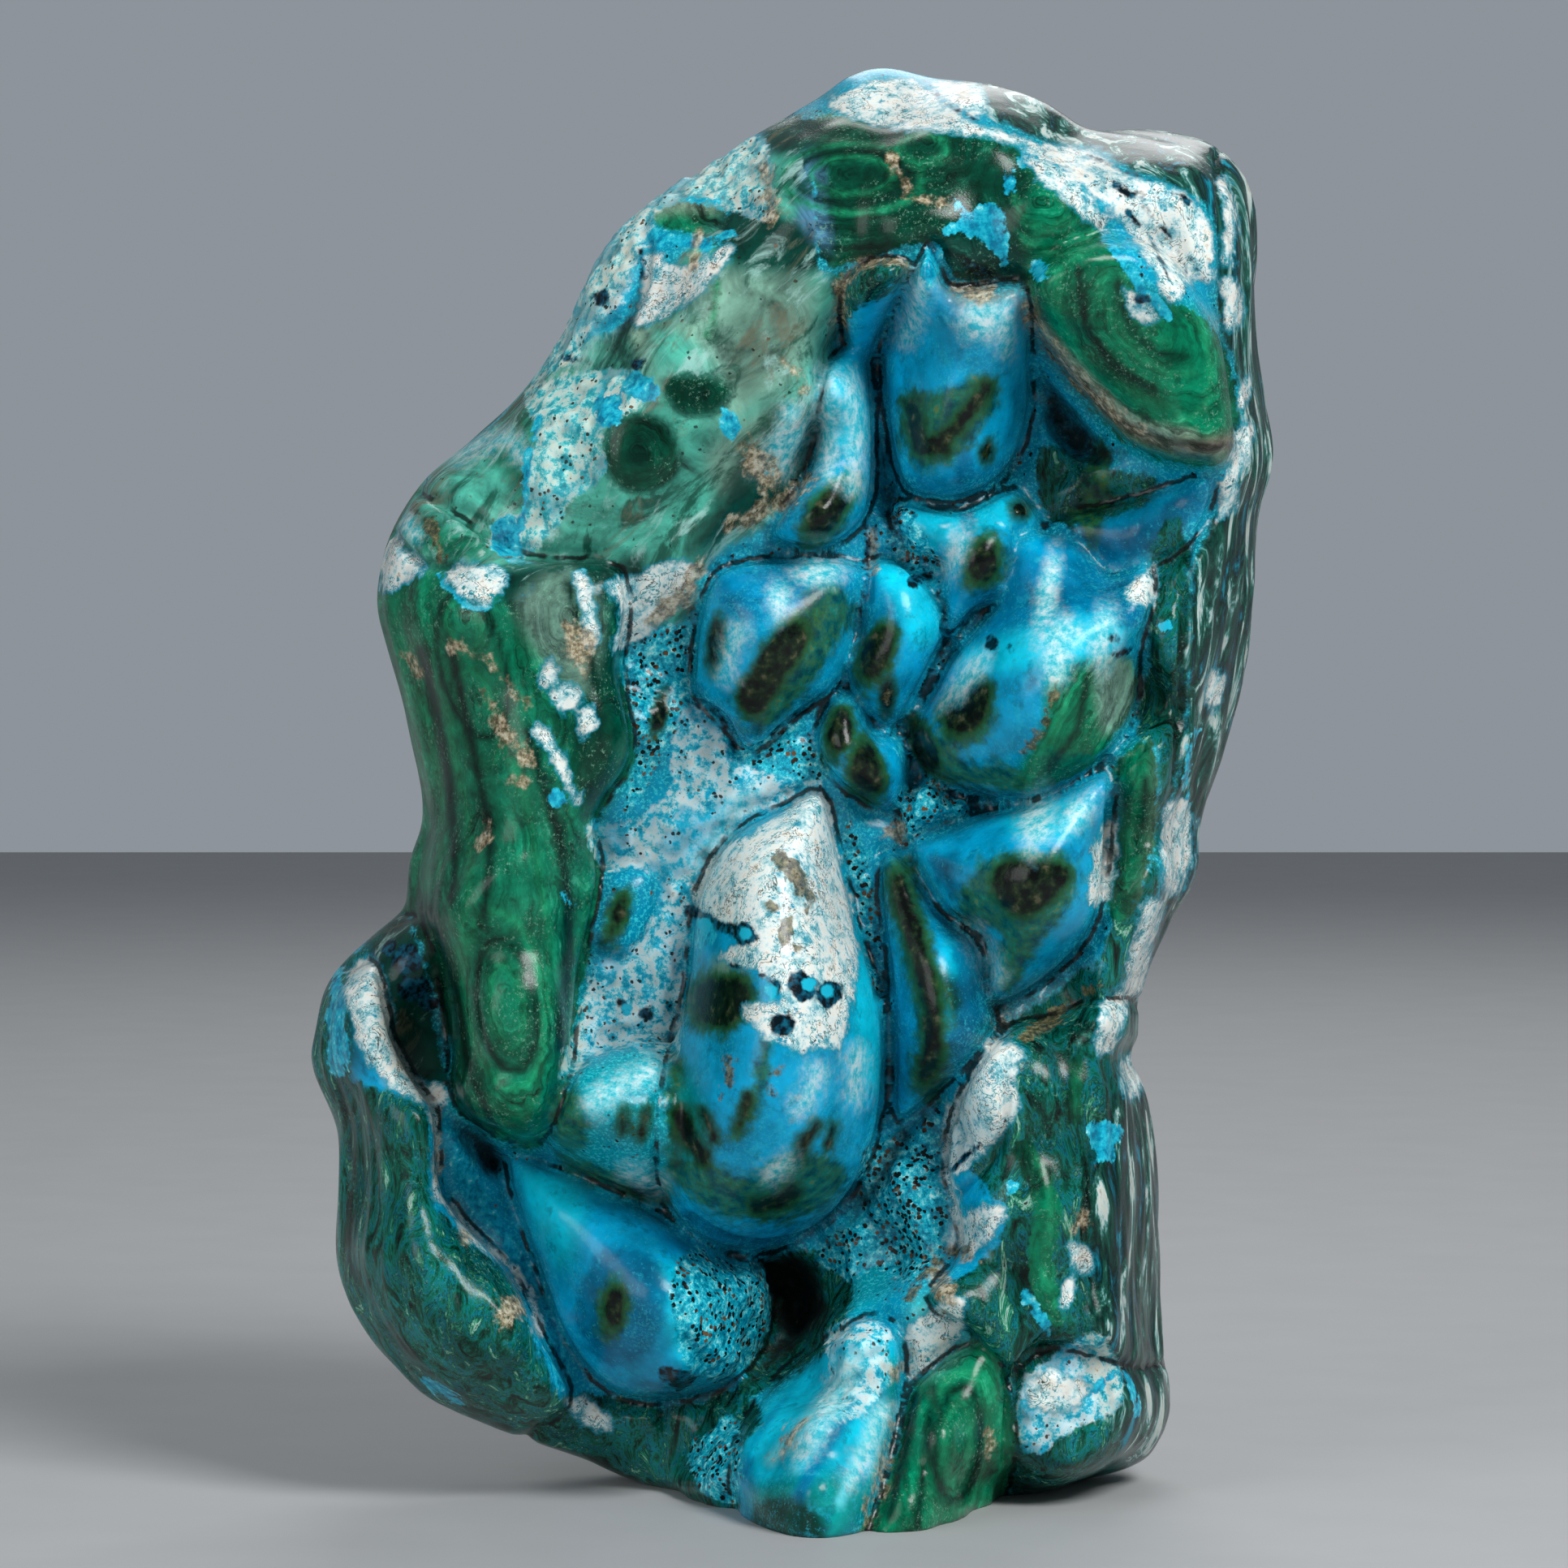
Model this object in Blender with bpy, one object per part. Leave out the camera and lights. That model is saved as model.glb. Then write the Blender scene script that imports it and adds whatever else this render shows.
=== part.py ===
"""A polished free-form lump of chrysocolla with malachite, one piece of stone.

It stands on a small flat cut at its foot. Its front holds a long hollow full of rounded,
drop-shaped lobes between two banded flanges, and its back is a broad smooth swell.

Every outline is drawn on a sheet, a 193.2 mm square with a 0.1 mm grid, across from the
left edge and down from the top edge, as the front is seen from one sight point. Depths
are in millimetres from the upright plane through the stone's middle, negative in front.
"""
import math

import bmesh
import bpy
import numpy as np
from mathutils import Matrix, noise

# The stone's real size follows from these lengths, in metres
GRID = 0.0001
SHEET_STEPS = 1932
SIGHT = (-0.00125, -0.8, 0.12)
SHEET_REACH = 8000 * GRID
SHEET_LEAN = math.radians(2.32)
MM = 0.001

STONE_CENTRE = (960, 1000)
VOXEL = 1.15 * MM
SEAM_WIDTH = 1.2 * MM
BACK_ROUND = 24 * MM
SWELL = 4.5 * MM
WEAR = 2.2 * MM
WEAR_STARTS = -10 * MM
WEAR_FADE = 12 * MM
TRIANGLES = 9700
GLOSS_ROUGHNESS = 0.18
STONE_COLOUR = (0.010, 0.170, 0.200, 1.0)

# Front outline, clockwise from the top
OUTLINE = [
    (1092, 94), (1149, 98), (1218, 103), (1284, 134), (1336, 162), (1427, 165), (1488, 176),
    (1535, 223), (1554, 305), (1555, 437), (1566, 560), (1547, 635), (1537, 701), (1514, 844),
    (1491, 940), (1465, 1021), (1469, 1075), (1450, 1138), (1416, 1227), (1410, 1280),
    (1398, 1303), (1413, 1340), (1420, 1458), (1413, 1602), (1418, 1672), (1432, 1730),
    (1412, 1785), (1366, 1820), (1300, 1842), (1242, 1850), (1209, 1880), (1129, 1910),
    (1014, 1925), (945, 1908), (899, 1880), (828, 1842), (755, 1805), (712, 1784),
    (619, 1755), (539, 1722), (483, 1672), (446, 1616), (425, 1543), (434, 1448),
    (428, 1384), (396, 1322), (391, 1282), (401, 1220), (434, 1180), (474, 1146),
    (505, 1122), (512, 1064), (526, 1004), (510, 906), (483, 799), (469, 733), (477, 661),
    (520, 586), (583, 537), (635, 486), (692, 393), (735, 315), (783, 258), (870, 203),
    (956, 155), (1016, 127), (1050, 104),
]

# Places round the outline: across, down, depth of the edge, and how far the front
# rounds off inwards from it
EDGE = [
    (1100, 94, 8, 12), (1300, 140, 10, 10), (1500, 185, 14, 9), (1560, 400, 16, 8),
    (1560, 580, 17, 8), (1520, 800, 17, 8), (1480, 1000, 17, 7), (1440, 1150, 17, 7),
    (1410, 1290, 15, 7), (1415, 1500, 15, 7), (1432, 1720, 10, 6), (1330, 1830, 6, 4),
    (1242, 1850, -2, 4), (1209, 1880, -12, 4), (1170, 1895, -20, 4), (1129, 1910, -28, 4),
    (1014, 1925, -34, 4), (945, 1908, -27, 4), (899, 1880, -13, 4), (860, 1860, -3, 5),
    (760, 1805, 8, 7), (640, 1760, 6, 9), (500, 1690, 4, 11),
    (425, 1540, 4, 12), (392, 1290, 6, 10), (470, 1146, 6, 8), (510, 1060, 8, 14),
    (500, 870, 8, 16), (470, 700, 6, 13), (560, 560, 8, 14), (700, 380, 8, 12),
    (860, 206, 8, 12), (1000, 130, 8, 12),
]

# Depth of the front before its lobes: across, down, depth
FRONT = [
    (1090, 125, -7), (1130, 210, -15), (1130, 280, -18), (1020, 200, -14), (1010, 300, -15),
    (1240, 190, -15), (1290, 260, -18), (1400, 240, -15), (1480, 290, -13), (1505, 420, -12),
    (1515, 560, -13), (1490, 700, -13), (1450, 800, -14), (1430, 950, -15), (1420, 1080, -15),
    (1385, 1230, -13), (1390, 1400, -11), (1390, 1560, -11), (1395, 1700, -12),
    (870, 230, -8), (780, 330, -8), (700, 430, -7), (930, 380, -15), (960, 480, -15),
    (860, 480, -16), (785, 560, -16), (860, 640, -13), (690, 560, -12), (590, 610, -9),
    (520, 650, -6), (575, 800, -13), (550, 950, -14), (640, 950, -15), (720, 760, -13),
    (740, 900, -13), (600, 1100, -16), (625, 1250, -18), (640, 1370, -17),
    (830, 820, -6), (920, 680, -8), (1000, 700, -7), (1100, 700, -5), (1060, 560, -3),
    (1090, 450, -2), (1200, 640, -6), (1280, 560, -2), (1350, 640, -4), (1430, 640, -6),
    (840, 950, -7), (1000, 960, -8), (790, 1080, -7), (780, 1230, -8), (1100, 1000, -5),
    (1130, 920, -4), (1400, 850, -8), (1390, 1050, -9), (1300, 1230, -8), (1150, 1390, -6),
    (1230, 1350, -14), (1260, 1500, -15), (1150, 1500, -10), (1080, 1540, -5),
    (1330, 1640, -14), (1150, 1620, -19), (1000, 1580, 0), (960, 1650, 3), (990, 1710, -8),
    (640, 1450, -1), (690, 1560, -2), (750, 1700, -3), (820, 1780, -2), (880, 1740, -3),
    (470, 1250, -7), (520, 1260, -2), (430, 1280, -6), (470, 1420, -10), (500, 1600, -12),
    (600, 1640, -12), (640, 1720, -9), (1060, 1660, -19), (1010, 1760, -27),
    (1000, 1850, -32), (945, 1850, -27), (930, 1790, -20), (1014, 1900, -34),
    (976, 1898, -33), (949, 1886, -29), (926, 1875, -22), (899, 1860, -13),
    (1100, 1860, -31), (1071, 1895, -33), (1129, 1887, -30), (1171, 1875, -24),
    (1209, 1857, -13), (1236, 1842, -5), (1190, 1690, -18), (1150, 1780, -25),
    (1230, 1780, -16), (1330, 1780, -13), (1400, 1770, -10),
]

# Depth of the back: across, down, depth
BACK = [
    (1100, 180, 22), (1400, 260, 25), (820, 380, 24), (1150, 450, 33), (1400, 620, 31),
    (700, 700, 29), (1000, 800, 38), (1380, 950, 33), (700, 1050, 32), (1060, 1200, 37),
    (1320, 1300, 31), (560, 1350, 22), (800, 1500, 34), (1150, 1600, 36), (620, 1640, 22),
    (1330, 1700, 30), (950, 1800, 33), (1200, 1850, 30),
]

# Lobes and slabs of the front: how far the middle stands out, how deep the seam round it
# sinks, how far its side rounds in (all mm), and its outline
LOBES = {
    "tall_teardrop": (12, 3, 9, [
        (1141, 300), (1110, 365), (1084, 430), (1088, 510), (1102, 580), (1122, 610),
        (1180, 618), (1240, 588), (1270, 525), (1273, 450), (1264, 352), (1215, 348),
        (1172, 352), (1156, 318)]),
    "shoulder": (8, 2, 3, [
        (1036, 410), (1040, 345), (1075, 318), (1122, 320), (1112, 360), (1086, 420),
        (1072, 450), (1050, 438)]),
    "left_finger": (9, 3, 5, [
        (1062, 400), (1078, 470), (1080, 590), (1062, 650), (1005, 682), (945, 658),
        (985, 592), (1008, 520), (1014, 455), (1042, 420)]),
    "black_eyed": (9, 2, 8, [
        (851, 850), (858, 760), (885, 700), (960, 686), (1060, 692), (1060, 750),
        (1040, 840), (985, 882), (925, 930), (890, 895)]),
    "two_eyed": (7, 2, 6, [
        (1064, 690), (1140, 702), (1168, 770), (1150, 820), (1120, 880), (1098, 902),
        (1060, 872), (1040, 828), (1058, 770)]),
    "twin_bud": (6, 2, 5, [
        (1038, 848), (1064, 862), (1078, 892), (1112, 905), (1124, 950), (1105, 1000),
        (1070, 996), (1020, 955), (1001, 915), (1014, 872)]),
    "high_shelf": (4, 1, 3, [
        (1096, 615), (1180, 628), (1250, 600), (1285, 640), (1262, 660), (1200, 650),
        (1165, 700), (1112, 672)]),
    "high_bud": (6, 2, 5, [
        (1178, 640), (1240, 632), (1263, 670), (1240, 735), (1200, 758), (1170, 792),
        (1157, 735), (1160, 680)]),
    "under_disc": (4, 2, 5, [
        (1290, 640), (1400, 610), (1490, 585), (1488, 640), (1440, 690), (1370, 708),
        (1330, 680)]),
    "right_shoulder": (7, 1, 5, [
        (1255, 655), (1330, 660), (1370, 705), (1420, 690), (1412, 780), (1340, 800),
        (1240, 780), (1225, 740)]),
    "right_lobe": (13, 3, 13, [
        (1176, 798), (1145, 852), (1118, 900), (1135, 950), (1180, 978), (1262, 988),
        (1345, 950), (1396, 890), (1407, 800), (1408, 740), (1340, 700), (1270, 710),
        (1212, 758)]),
    "right_low_lobe": (12, 3, 12, [
        (1118, 1050), (1145, 1026), (1210, 1000), (1275, 986), (1368, 948), (1370, 1030),
        (1355, 1130), (1315, 1190), (1250, 1236), (1215, 1232), (1212, 1160), (1160, 1122)]),
    "wedge": (4, 1, 4, [
        (1138, 955), (1172, 978), (1205, 995), (1140, 1026), (1112, 1042), (1106, 1000)]),
    "hanging_finger": (8, 2, 6, [
        (1086, 1048), (1118, 1056), (1160, 1124), (1205, 1160), (1222, 1232), (1228, 1270),
        (1165, 1340), (1104, 1382), (1098, 1290), (1092, 1190), (1080, 1100)]),
    "belly": (21, 3, 20, [
        (1013, 972), (1034, 1035), (1058, 1130), (1090, 1240), (1092, 1350), (1070, 1440),
        (1020, 1508), (945, 1545), (870, 1535), (820, 1490), (808, 1420), (818, 1320),
        (842, 1210), (856, 1100), (900, 1025), (965, 990)]),
    "belly_side": (13, 3, 10, [
        (690, 1330), (745, 1288), (830, 1284), (880, 1340), (880, 1470), (800, 1480),
        (720, 1458), (668, 1404)]),
    "blue_patch": (2, 1, 3, [
        (735, 1080), (800, 1070), (808, 1130), (770, 1180), (728, 1160)]),
    "low_belly": (14, 3, 14, [
        (622, 1430), (690, 1440), (800, 1486), (900, 1548), (948, 1560), (950, 1640),
        (905, 1702), (820, 1730), (750, 1716), (694, 1650), (655, 1550)]),
    "front_foot": (7, 2, 8, [
        (1085, 1618), (1118, 1668), (1098, 1790), (1062, 1900), (1010, 1950), (940, 1930),
        (900, 1850), (906, 1770), (960, 1690), (1030, 1640)]),
    "banded_foot": (5, 2, 7, [
        (1128, 1700), (1200, 1652), (1238, 1690), (1252, 1780), (1225, 1870), (1130, 1940),
        (1062, 1930), (1088, 1840), (1112, 1750)]),
    "rear_foot": (4, 1, 6, [
        (1250, 1706), (1310, 1650), (1400, 1690), (1450, 1750), (1420, 1830), (1300, 1880),
        (1240, 1860), (1244, 1780)]),
    "disc": (8, 2, 3, [
        (1262, 345), (1276, 402), (1330, 482), (1400, 552), (1480, 572), (1526, 552),
        (1512, 440), (1480, 360), (1420, 300), (1340, 296)]),
    "left_flange": (6, 2, 5, [
        (380, 640), (500, 600), (640, 680), (770, 700), (770, 830), (784, 930), (738, 1008),
        (742, 1084), (720, 1190), (704, 1320), (668, 1408), (622, 1404), (558, 1360),
        (548, 1270), (516, 1130), (380, 1060)]),
    "flap": (6, 1, 5, [
        (360, 1240), (430, 1190), (466, 1188), (486, 1272), (522, 1340), (540, 1372),
        (552, 1470), (626, 1556), (668, 1640), (700, 1740), (500, 1800), (340, 1600)]),
    "right_mass": (5, 1, 4, [
        (1245, 1262), (1300, 1250), (1350, 1230), (1420, 1260), (1440, 1500), (1440, 1680),
        (1300, 1660), (1245, 1690), (1190, 1640), (1140, 1600), (1180, 1530), (1160, 1430),
        (1190, 1330)]),
}

# Deep dark openings: depth in mm, width of the bevelled lip, outline
CAVITIES = {
    "flap_gap": (12, 2.5, [(536, 1364), (560, 1366), (622, 1412), (622, 1450), (600, 1456),
                           (566, 1412)]),
    "belly_gap": (9, 4, [(925, 1560), (985, 1536), (1020, 1580), (1030, 1630), (985, 1665),
                         (925, 1716), (905, 1712), (950, 1640)]),
    "teardrop_gap": (7, 2, [(1076, 430), (1084, 450), (1098, 560), (1112, 620), (1100, 655),
                            (1082, 640), (1078, 540)]),
    "disc_gap": (6, 3, [(1272, 430), (1300, 470), (1360, 540), (1400, 560), (1340, 575),
                        (1285, 530)]),
    "rim_crack": (5, 2, [(786, 320), (796, 345), (788, 395), (762, 430), (776, 452),
                         (752, 440), (735, 430), (768, 385)]),
    "belly_crease": (6, 3, [(1172, 1350), (1130, 1400), (1092, 1470), (1040, 1530),
                            (1010, 1540), (1070, 1450), (1100, 1390)]),
}


def on_plane(across, down):
    """Sheet grid to metres on the upright plane through the stone's middle."""
    side = (across - SHEET_STEPS / 2) * GRID
    rise = (SHEET_STEPS / 2 - down) * GRID
    lean_cos, lean_sin = math.cos(SHEET_LEAN), math.sin(SHEET_LEAN)
    reach = -SIGHT[1] / (SHEET_REACH * lean_cos + rise * lean_sin)
    height = rise * lean_cos - SHEET_REACH * lean_sin
    return SIGHT[0] + side * reach, SIGHT[2] + height * reach


def places(rows):
    """Rows that begin with sheet coordinates, as plane points and their other columns."""
    table = np.array(rows, dtype=float)
    u, v = on_plane(table[:, 0], table[:, 1])
    return np.column_stack([u, v]), table[:, 2:] * MM


def rounded(points, steps=5):
    """A closed Catmull-Rom curve through sheet points, as plane points."""
    knots = np.array(points, dtype=float)
    before, after = np.roll(knots, 1, axis=0), np.roll(knots, -1, axis=0)
    beyond = np.roll(knots, -2, axis=0)
    curve = []
    for t in np.arange(steps) / steps:
        curve.append(0.5 * (2 * knots + (after - before) * t
                            + (2 * before - 5 * knots + 4 * after - beyond) * t ** 2
                            + (3 * knots - before - 3 * after + beyond) * t ** 3))
    ring = np.stack(curve, axis=1).reshape(-1, 2)
    u, v = on_plane(ring[:, 0], ring[:, 1])
    return np.column_stack([u, v])


def inside_distance(points, ring):
    """Distance to a ring, positive inside it and negative outside."""
    nearest = np.full(len(points), np.inf)
    crossings = np.zeros(len(points), dtype=int)
    for start, end in zip(ring, np.roll(ring, -1, axis=0)):
        edge = end - start
        offset = points - start
        along = np.clip(offset @ edge / max(edge @ edge, 1e-18), 0, 1)
        gap = offset - along[:, None] * edge
        nearest = np.minimum(nearest, (gap ** 2).sum(axis=1))
        spans = (start[1] > points[:, 1]) != (end[1] > points[:, 1])
        if edge[1]:
            crossing_u = start[0] + (points[:, 1] - start[1]) * edge[0] / edge[1]
            crossings += spans & (points[:, 0] < crossing_u)
    return np.sqrt(nearest) * np.where(crossings % 2, 1, -1)


def soft_distance(points, ring):
    """Like the distance to a ring, but smooth inside it, so a lobe gets no ridge."""
    total = np.zeros(len(points))
    for start, end in zip(ring, np.roll(ring, -1, axis=0)):
        edge = end - start
        length = math.hypot(*edge)
        near, far = -(points - start) @ edge / length, (end - points) @ edge / length
        off = (points - start) @ np.array([-edge[1], edge[0]]) / length
        square = np.maximum(off ** 2, (0.02 * MM) ** 2)
        total += (far / np.sqrt(square + far ** 2) - near / np.sqrt(square + near ** 2)) / square
    return np.sqrt(2 / total)


def blended(points, spots, values, softness=4 * MM, power=2.0):
    """Values at spots spread smoothly over all points, each strongest near its spot."""
    square = ((points[:, None, :] - spots[None, :, :]) ** 2).sum(axis=2)
    weight = 1 / (square + softness ** 2) ** power
    return weight @ values / weight.sum(axis=1, keepdims=True)


def round_side(distance, radius):
    """0 at an edge, rising as a quarter circle to 1 at the radius."""
    share = np.clip(distance / radius, 0, 1)
    return np.sqrt(1 - (1 - share) ** 2)


def dome(distance, radius):
    """A slab with round sides, or a full dome where the shape is narrower than they are."""
    if radius < distance.max():
        return round_side(distance, radius)
    return np.sqrt(distance / distance.max())


def front_relief(points, depth):
    """Adds the lobes, the seams between them and the cavities to the front's depth."""
    lobes = np.full(len(points), np.inf)
    seam = np.zeros(len(points))
    for stand_out, sink, radius, outline in LOBES.values():
        ring = rounded(outline)
        distance = inside_distance(points, ring)
        inside = distance > 0
        rise = dome(soft_distance(points[inside], ring), radius * MM)
        lobe = depth[inside] + sink * MM - (stand_out + sink) * MM * rise
        lobes[inside] = np.minimum(lobes[inside], lobe)
        near = np.exp(-(distance / SEAM_WIDTH) ** 2)
        seam = np.maximum(seam, np.where(inside, 0, sink * MM * near))
    surface = np.where(np.isinf(lobes), depth + seam, lobes)
    for deep, lip, outline in CAVITIES.values():
        distance = inside_distance(points, rounded(outline))
        share = np.clip(distance / (lip * MM), 0, 1)
        surface = surface + deep * MM * share * share * (3 - 2 * share)
    return surface


def round_the_edge(angle, spokes, values):
    """Values given at the ends of spokes from the centre, read off in any direction."""
    bearing = np.arctan2(spokes[:, 1], spokes[:, 0])
    order = np.argsort(bearing)
    return np.interp(angle, bearing[order], values[order], period=2 * math.pi)


def swell(points):
    """Slow bumps of the back, a few millimetres high."""
    bumps = [noise.noise((u * 26, v * 22, 3.7)) + 0.4 * noise.noise((u * 60, v * 48, 9.1))
             for u, v in points]
    return np.array(bumps) * SWELL


def stone_points(directions):
    """Moves the points of a unit ball onto the stone, as seen on the plane, with depth."""
    ring = rounded(OUTLINE)
    centre = np.array(on_plane(*STONE_CENTRE))
    across = np.hypot(directions[:, 0], directions[:, 2])
    angle = np.arctan2(directions[:, 2], directions[:, 0])
    spokes = ring - centre
    reach = round_the_edge(angle, spokes, np.hypot(spokes[:, 0], spokes[:, 1])) * across
    points = centre + np.column_stack([np.cos(angle), np.sin(angle)]) * reach[:, None]

    edge_spots, edge_values = places(EDGE)
    edge_depth = round_the_edge(angle, edge_spots - centre, edge_values[:, 0])
    edge_round = round_the_edge(angle, edge_spots - centre, edge_values[:, 1])
    distance = np.maximum(inside_distance(points, ring), 0)

    front_spots, front_depths = places(FRONT)
    front = front_relief(points, blended(points, front_spots, front_depths, 3 * MM)[:, 0])
    back_spots, back_depths = places(BACK)
    back = blended(points, back_spots, back_depths, 14 * MM)[:, 0] + swell(points)

    front_share = round_side(distance, edge_round)
    back_share = round_side(distance, BACK_ROUND)
    is_front = directions[:, 1] < 0
    depth = np.where(is_front, edge_depth + (front - edge_depth) * front_share,
                     edge_depth + (back - edge_depth) * back_share)
    return points, depth


def spread_from_sight(points, depth):
    """Carries plane points to their real place at their depth, along the lines of sight."""
    scale = 1 - depth / SIGHT[1]
    x = SIGHT[0] + (points[:, 0] - SIGHT[0]) * scale
    z = SIGHT[2] + (points[:, 1] - SIGHT[2]) * scale
    return np.column_stack([x, depth, z])


def apply_modifiers(thing):
    """Replaces an object's mesh by the one its modifiers give."""
    graph = bpy.context.evaluated_depsgraph_get()
    result = bpy.data.meshes.new_from_object(thing.evaluated_get(graph))
    thing.modifiers.clear()
    thing.data = result


def wear_sides(thing):
    """Presses soft upright hollows into the sides and the back, and leaves the front."""
    mesh = thing.data
    places_now = [vertex.co.copy() for vertex in mesh.vertices]
    normals = [vertex.normal.copy() for vertex in mesh.vertices]
    for vertex, place, normal in zip(mesh.vertices, places_now, normals):
        behind = min(max((place.y - WEAR_STARTS) / WEAR_FADE, 0), 1)
        wave = noise.noise((place.x * 45, place.y * 70, place.z * 24))
        fine = noise.noise((place.x * 110, place.y * 130, place.z * 60))
        vertex.co = place + normal * behind * (wave * WEAR + fine * WEAR * 0.3)


def cut_base(thing):
    """Cuts the stone off flat at height 0 and closes the cut."""
    work = bmesh.new()
    work.from_mesh(thing.data)
    everything = work.verts[:] + work.edges[:] + work.faces[:]
    bmesh.ops.bisect_plane(work, geom=everything, plane_co=(0, 0, 0), plane_no=(0, 0, 1),
                           dist=0.2 * MM, clear_inner=True)
    bmesh.ops.remove_doubles(work, verts=work.verts[:], dist=0.05 * MM)
    for vertex in work.verts:
        if vertex.co.z < 0.2 * MM:
            vertex.co.z = 0
    open_edges = [edge for edge in work.edges if edge.is_boundary]
    bmesh.ops.triangle_fill(work, edges=open_edges, use_beauty=True)
    bmesh.ops.triangulate(work, faces=work.faces[:])
    bmesh.ops.recalc_face_normals(work, faces=work.faces[:])
    work.to_mesh(thing.data)
    work.free()


def centre_footprint(thing):
    """Puts the middle of the stone's width and depth on the upright axis."""
    x, y, _ = np.array([vertex.co for vertex in thing.data.vertices]).T
    thing.data.transform(Matrix.Translation((-(x.min() + x.max()) / 2,
                                             -(y.min() + y.max()) / 2, 0)))


def make_stone():
    """The whole stone: shaped from a ball, evened out, thinned and cut flat below."""
    mesh = bpy.data.meshes.new("chrysocolla_stone")
    work = bmesh.new()
    bmesh.ops.create_uvsphere(work, u_segments=300, v_segments=220, radius=1)
    work.to_mesh(mesh)
    work.free()
    ball = np.empty(len(mesh.vertices) * 3)
    mesh.vertices.foreach_get("co", ball)
    ball = ball.reshape(-1, 3)
    facing = np.column_stack([ball[:, 0], -ball[:, 2], ball[:, 1]])
    placed = spread_from_sight(*stone_points(facing))
    mesh.vertices.foreach_set("co", placed.ravel())
    mesh.update()

    stone = bpy.data.objects.new("chrysocolla_stone", mesh)
    bpy.context.collection.objects.link(stone)
    even = stone.modifiers.new("Even skin", "REMESH")
    even.mode = "VOXEL"
    even.voxel_size = VOXEL
    polish = stone.modifiers.new("Polish", "SMOOTH")
    polish.factor = 0.5
    polish.iterations = 2
    apply_modifiers(stone)
    wear_sides(stone)
    faces = sum(len(face.vertices) - 2 for face in stone.data.polygons)
    thin = stone.modifiers.new("Fewer faces", "DECIMATE")
    thin.ratio = TRIANGLES / faces
    apply_modifiers(stone)
    cut_base(stone)
    centre_footprint(stone)
    return stone


def polished_stone():
    """Polished blue-green stone."""
    material = bpy.data.materials.new("polished_chrysocolla")
    material.use_nodes = True
    shader = material.node_tree.nodes["Principled BSDF"]
    shader.inputs["Base Color"].default_value = STONE_COLOUR
    shader.inputs["Roughness"].default_value = GLOSS_ROUGHNESS
    shader.inputs["Metallic"].default_value = 0.0
    return material


for leftover in list(bpy.data.objects):
    bpy.data.objects.remove(leftover, do_unlink=True)

stone = make_stone()
stone.data.materials.clear()
stone.data.materials.append(polished_stone())
stone.data.shade_smooth()
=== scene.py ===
"""Looks of a polished lump of chrysocolla with malachite, on a pale floor in soft light.

The stone is one piece. Its places are given on a sheet, a 193.2 mm square with a 0.1 mm
grid, across from the left edge and down from the top edge, as the front is seen from the
sight point. Depths are millimetres from the upright plane through the stone's middle.
"""
import math

import bmesh
import bpy
import numpy as np
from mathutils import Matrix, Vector, noise


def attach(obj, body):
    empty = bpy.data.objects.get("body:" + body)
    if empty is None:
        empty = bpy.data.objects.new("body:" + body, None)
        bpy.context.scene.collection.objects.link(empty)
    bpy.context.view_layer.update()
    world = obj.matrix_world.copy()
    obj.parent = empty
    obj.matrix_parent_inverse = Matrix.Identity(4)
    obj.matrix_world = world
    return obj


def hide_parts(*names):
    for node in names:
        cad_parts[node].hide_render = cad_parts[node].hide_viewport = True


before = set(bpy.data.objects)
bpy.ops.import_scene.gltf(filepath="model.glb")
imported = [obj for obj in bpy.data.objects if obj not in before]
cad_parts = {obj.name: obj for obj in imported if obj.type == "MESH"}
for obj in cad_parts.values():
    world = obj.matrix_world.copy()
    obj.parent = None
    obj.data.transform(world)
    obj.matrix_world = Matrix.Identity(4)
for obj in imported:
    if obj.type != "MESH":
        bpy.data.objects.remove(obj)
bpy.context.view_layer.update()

MM = 0.001
FAR = 1e4

# The sheet: mm for one step of its grid, steps across it, the sight point in mm from the middle
# of the foot, the sheet's distance from it in grid steps and how far it leans back
GRID = 0.1
SHEET = 1932
SIGHT = (-1.25, -800.0, 120.0)
SHEET_REACH = 8000
SHEET_LEAN = math.radians(2.32)
# Middle of the stone's footprint in mm, which the frame has at its origin
FOOTPRINT_MIDDLE = (-0.083, 0.729)

# The stone's shape, in mm but for the centre: where its spokes start on the sheet, how far the
# back rounds in, how far it swells, and where its front ends near the edge
STONE_CENTRE = (960, 1000)
BACK_ROUND = 24
SWELL = 4.5
PARTING_DEPTH = 9
PARTING_REACH = 10
PARTING_BLEND = 3
# Wear behind the front edge: how deep, from which depth on and over what length it sets in
WEAR = 2.2
WEAR_STARTS = -10
WEAR_FADE = 12
# Width of the dip beside a lobe, then depth and half width of the crack between two lobes
SEAM_WIDTH = 1.0
SEAM_CUT = 0.6
SEAM_HALF = 0.6
GROOVE_CUT = 0.8
# Fine relief of the crust, of the layered and streaked stone, and of the malachite
CRUST_ROUGH = 0.55
LAYER_ROUGH = 0.5
BAND_ROUGH = 0.5

# How fine the mesh is: the ball it starts as, the size of its faces, the share of faces that
# the back keeps, and rounds of evening out
BALL_SEGMENTS = 440
BALL_RINGS = 330
VOXEL = 0.78 * MM
BACK_SHARE = 0.25
EVEN_ROUNDS = 3
HOLLOW_ROUNDS = 14
WELD = 0.02 * MM
# Steps between two points of a painted edge
PAINT_STEPS = 3
# What a mineral's distance is where there is none of it, in mm
NONE_OF_IT = -6.0

# How soft the malachite's single bands and the front foot's stripes are, in mm
BRIGHT_SOFTNESS = 0.9
NIGHT_SOFTNESS = 1.0
STRIPE_SOFTNESS = 1.4

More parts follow.
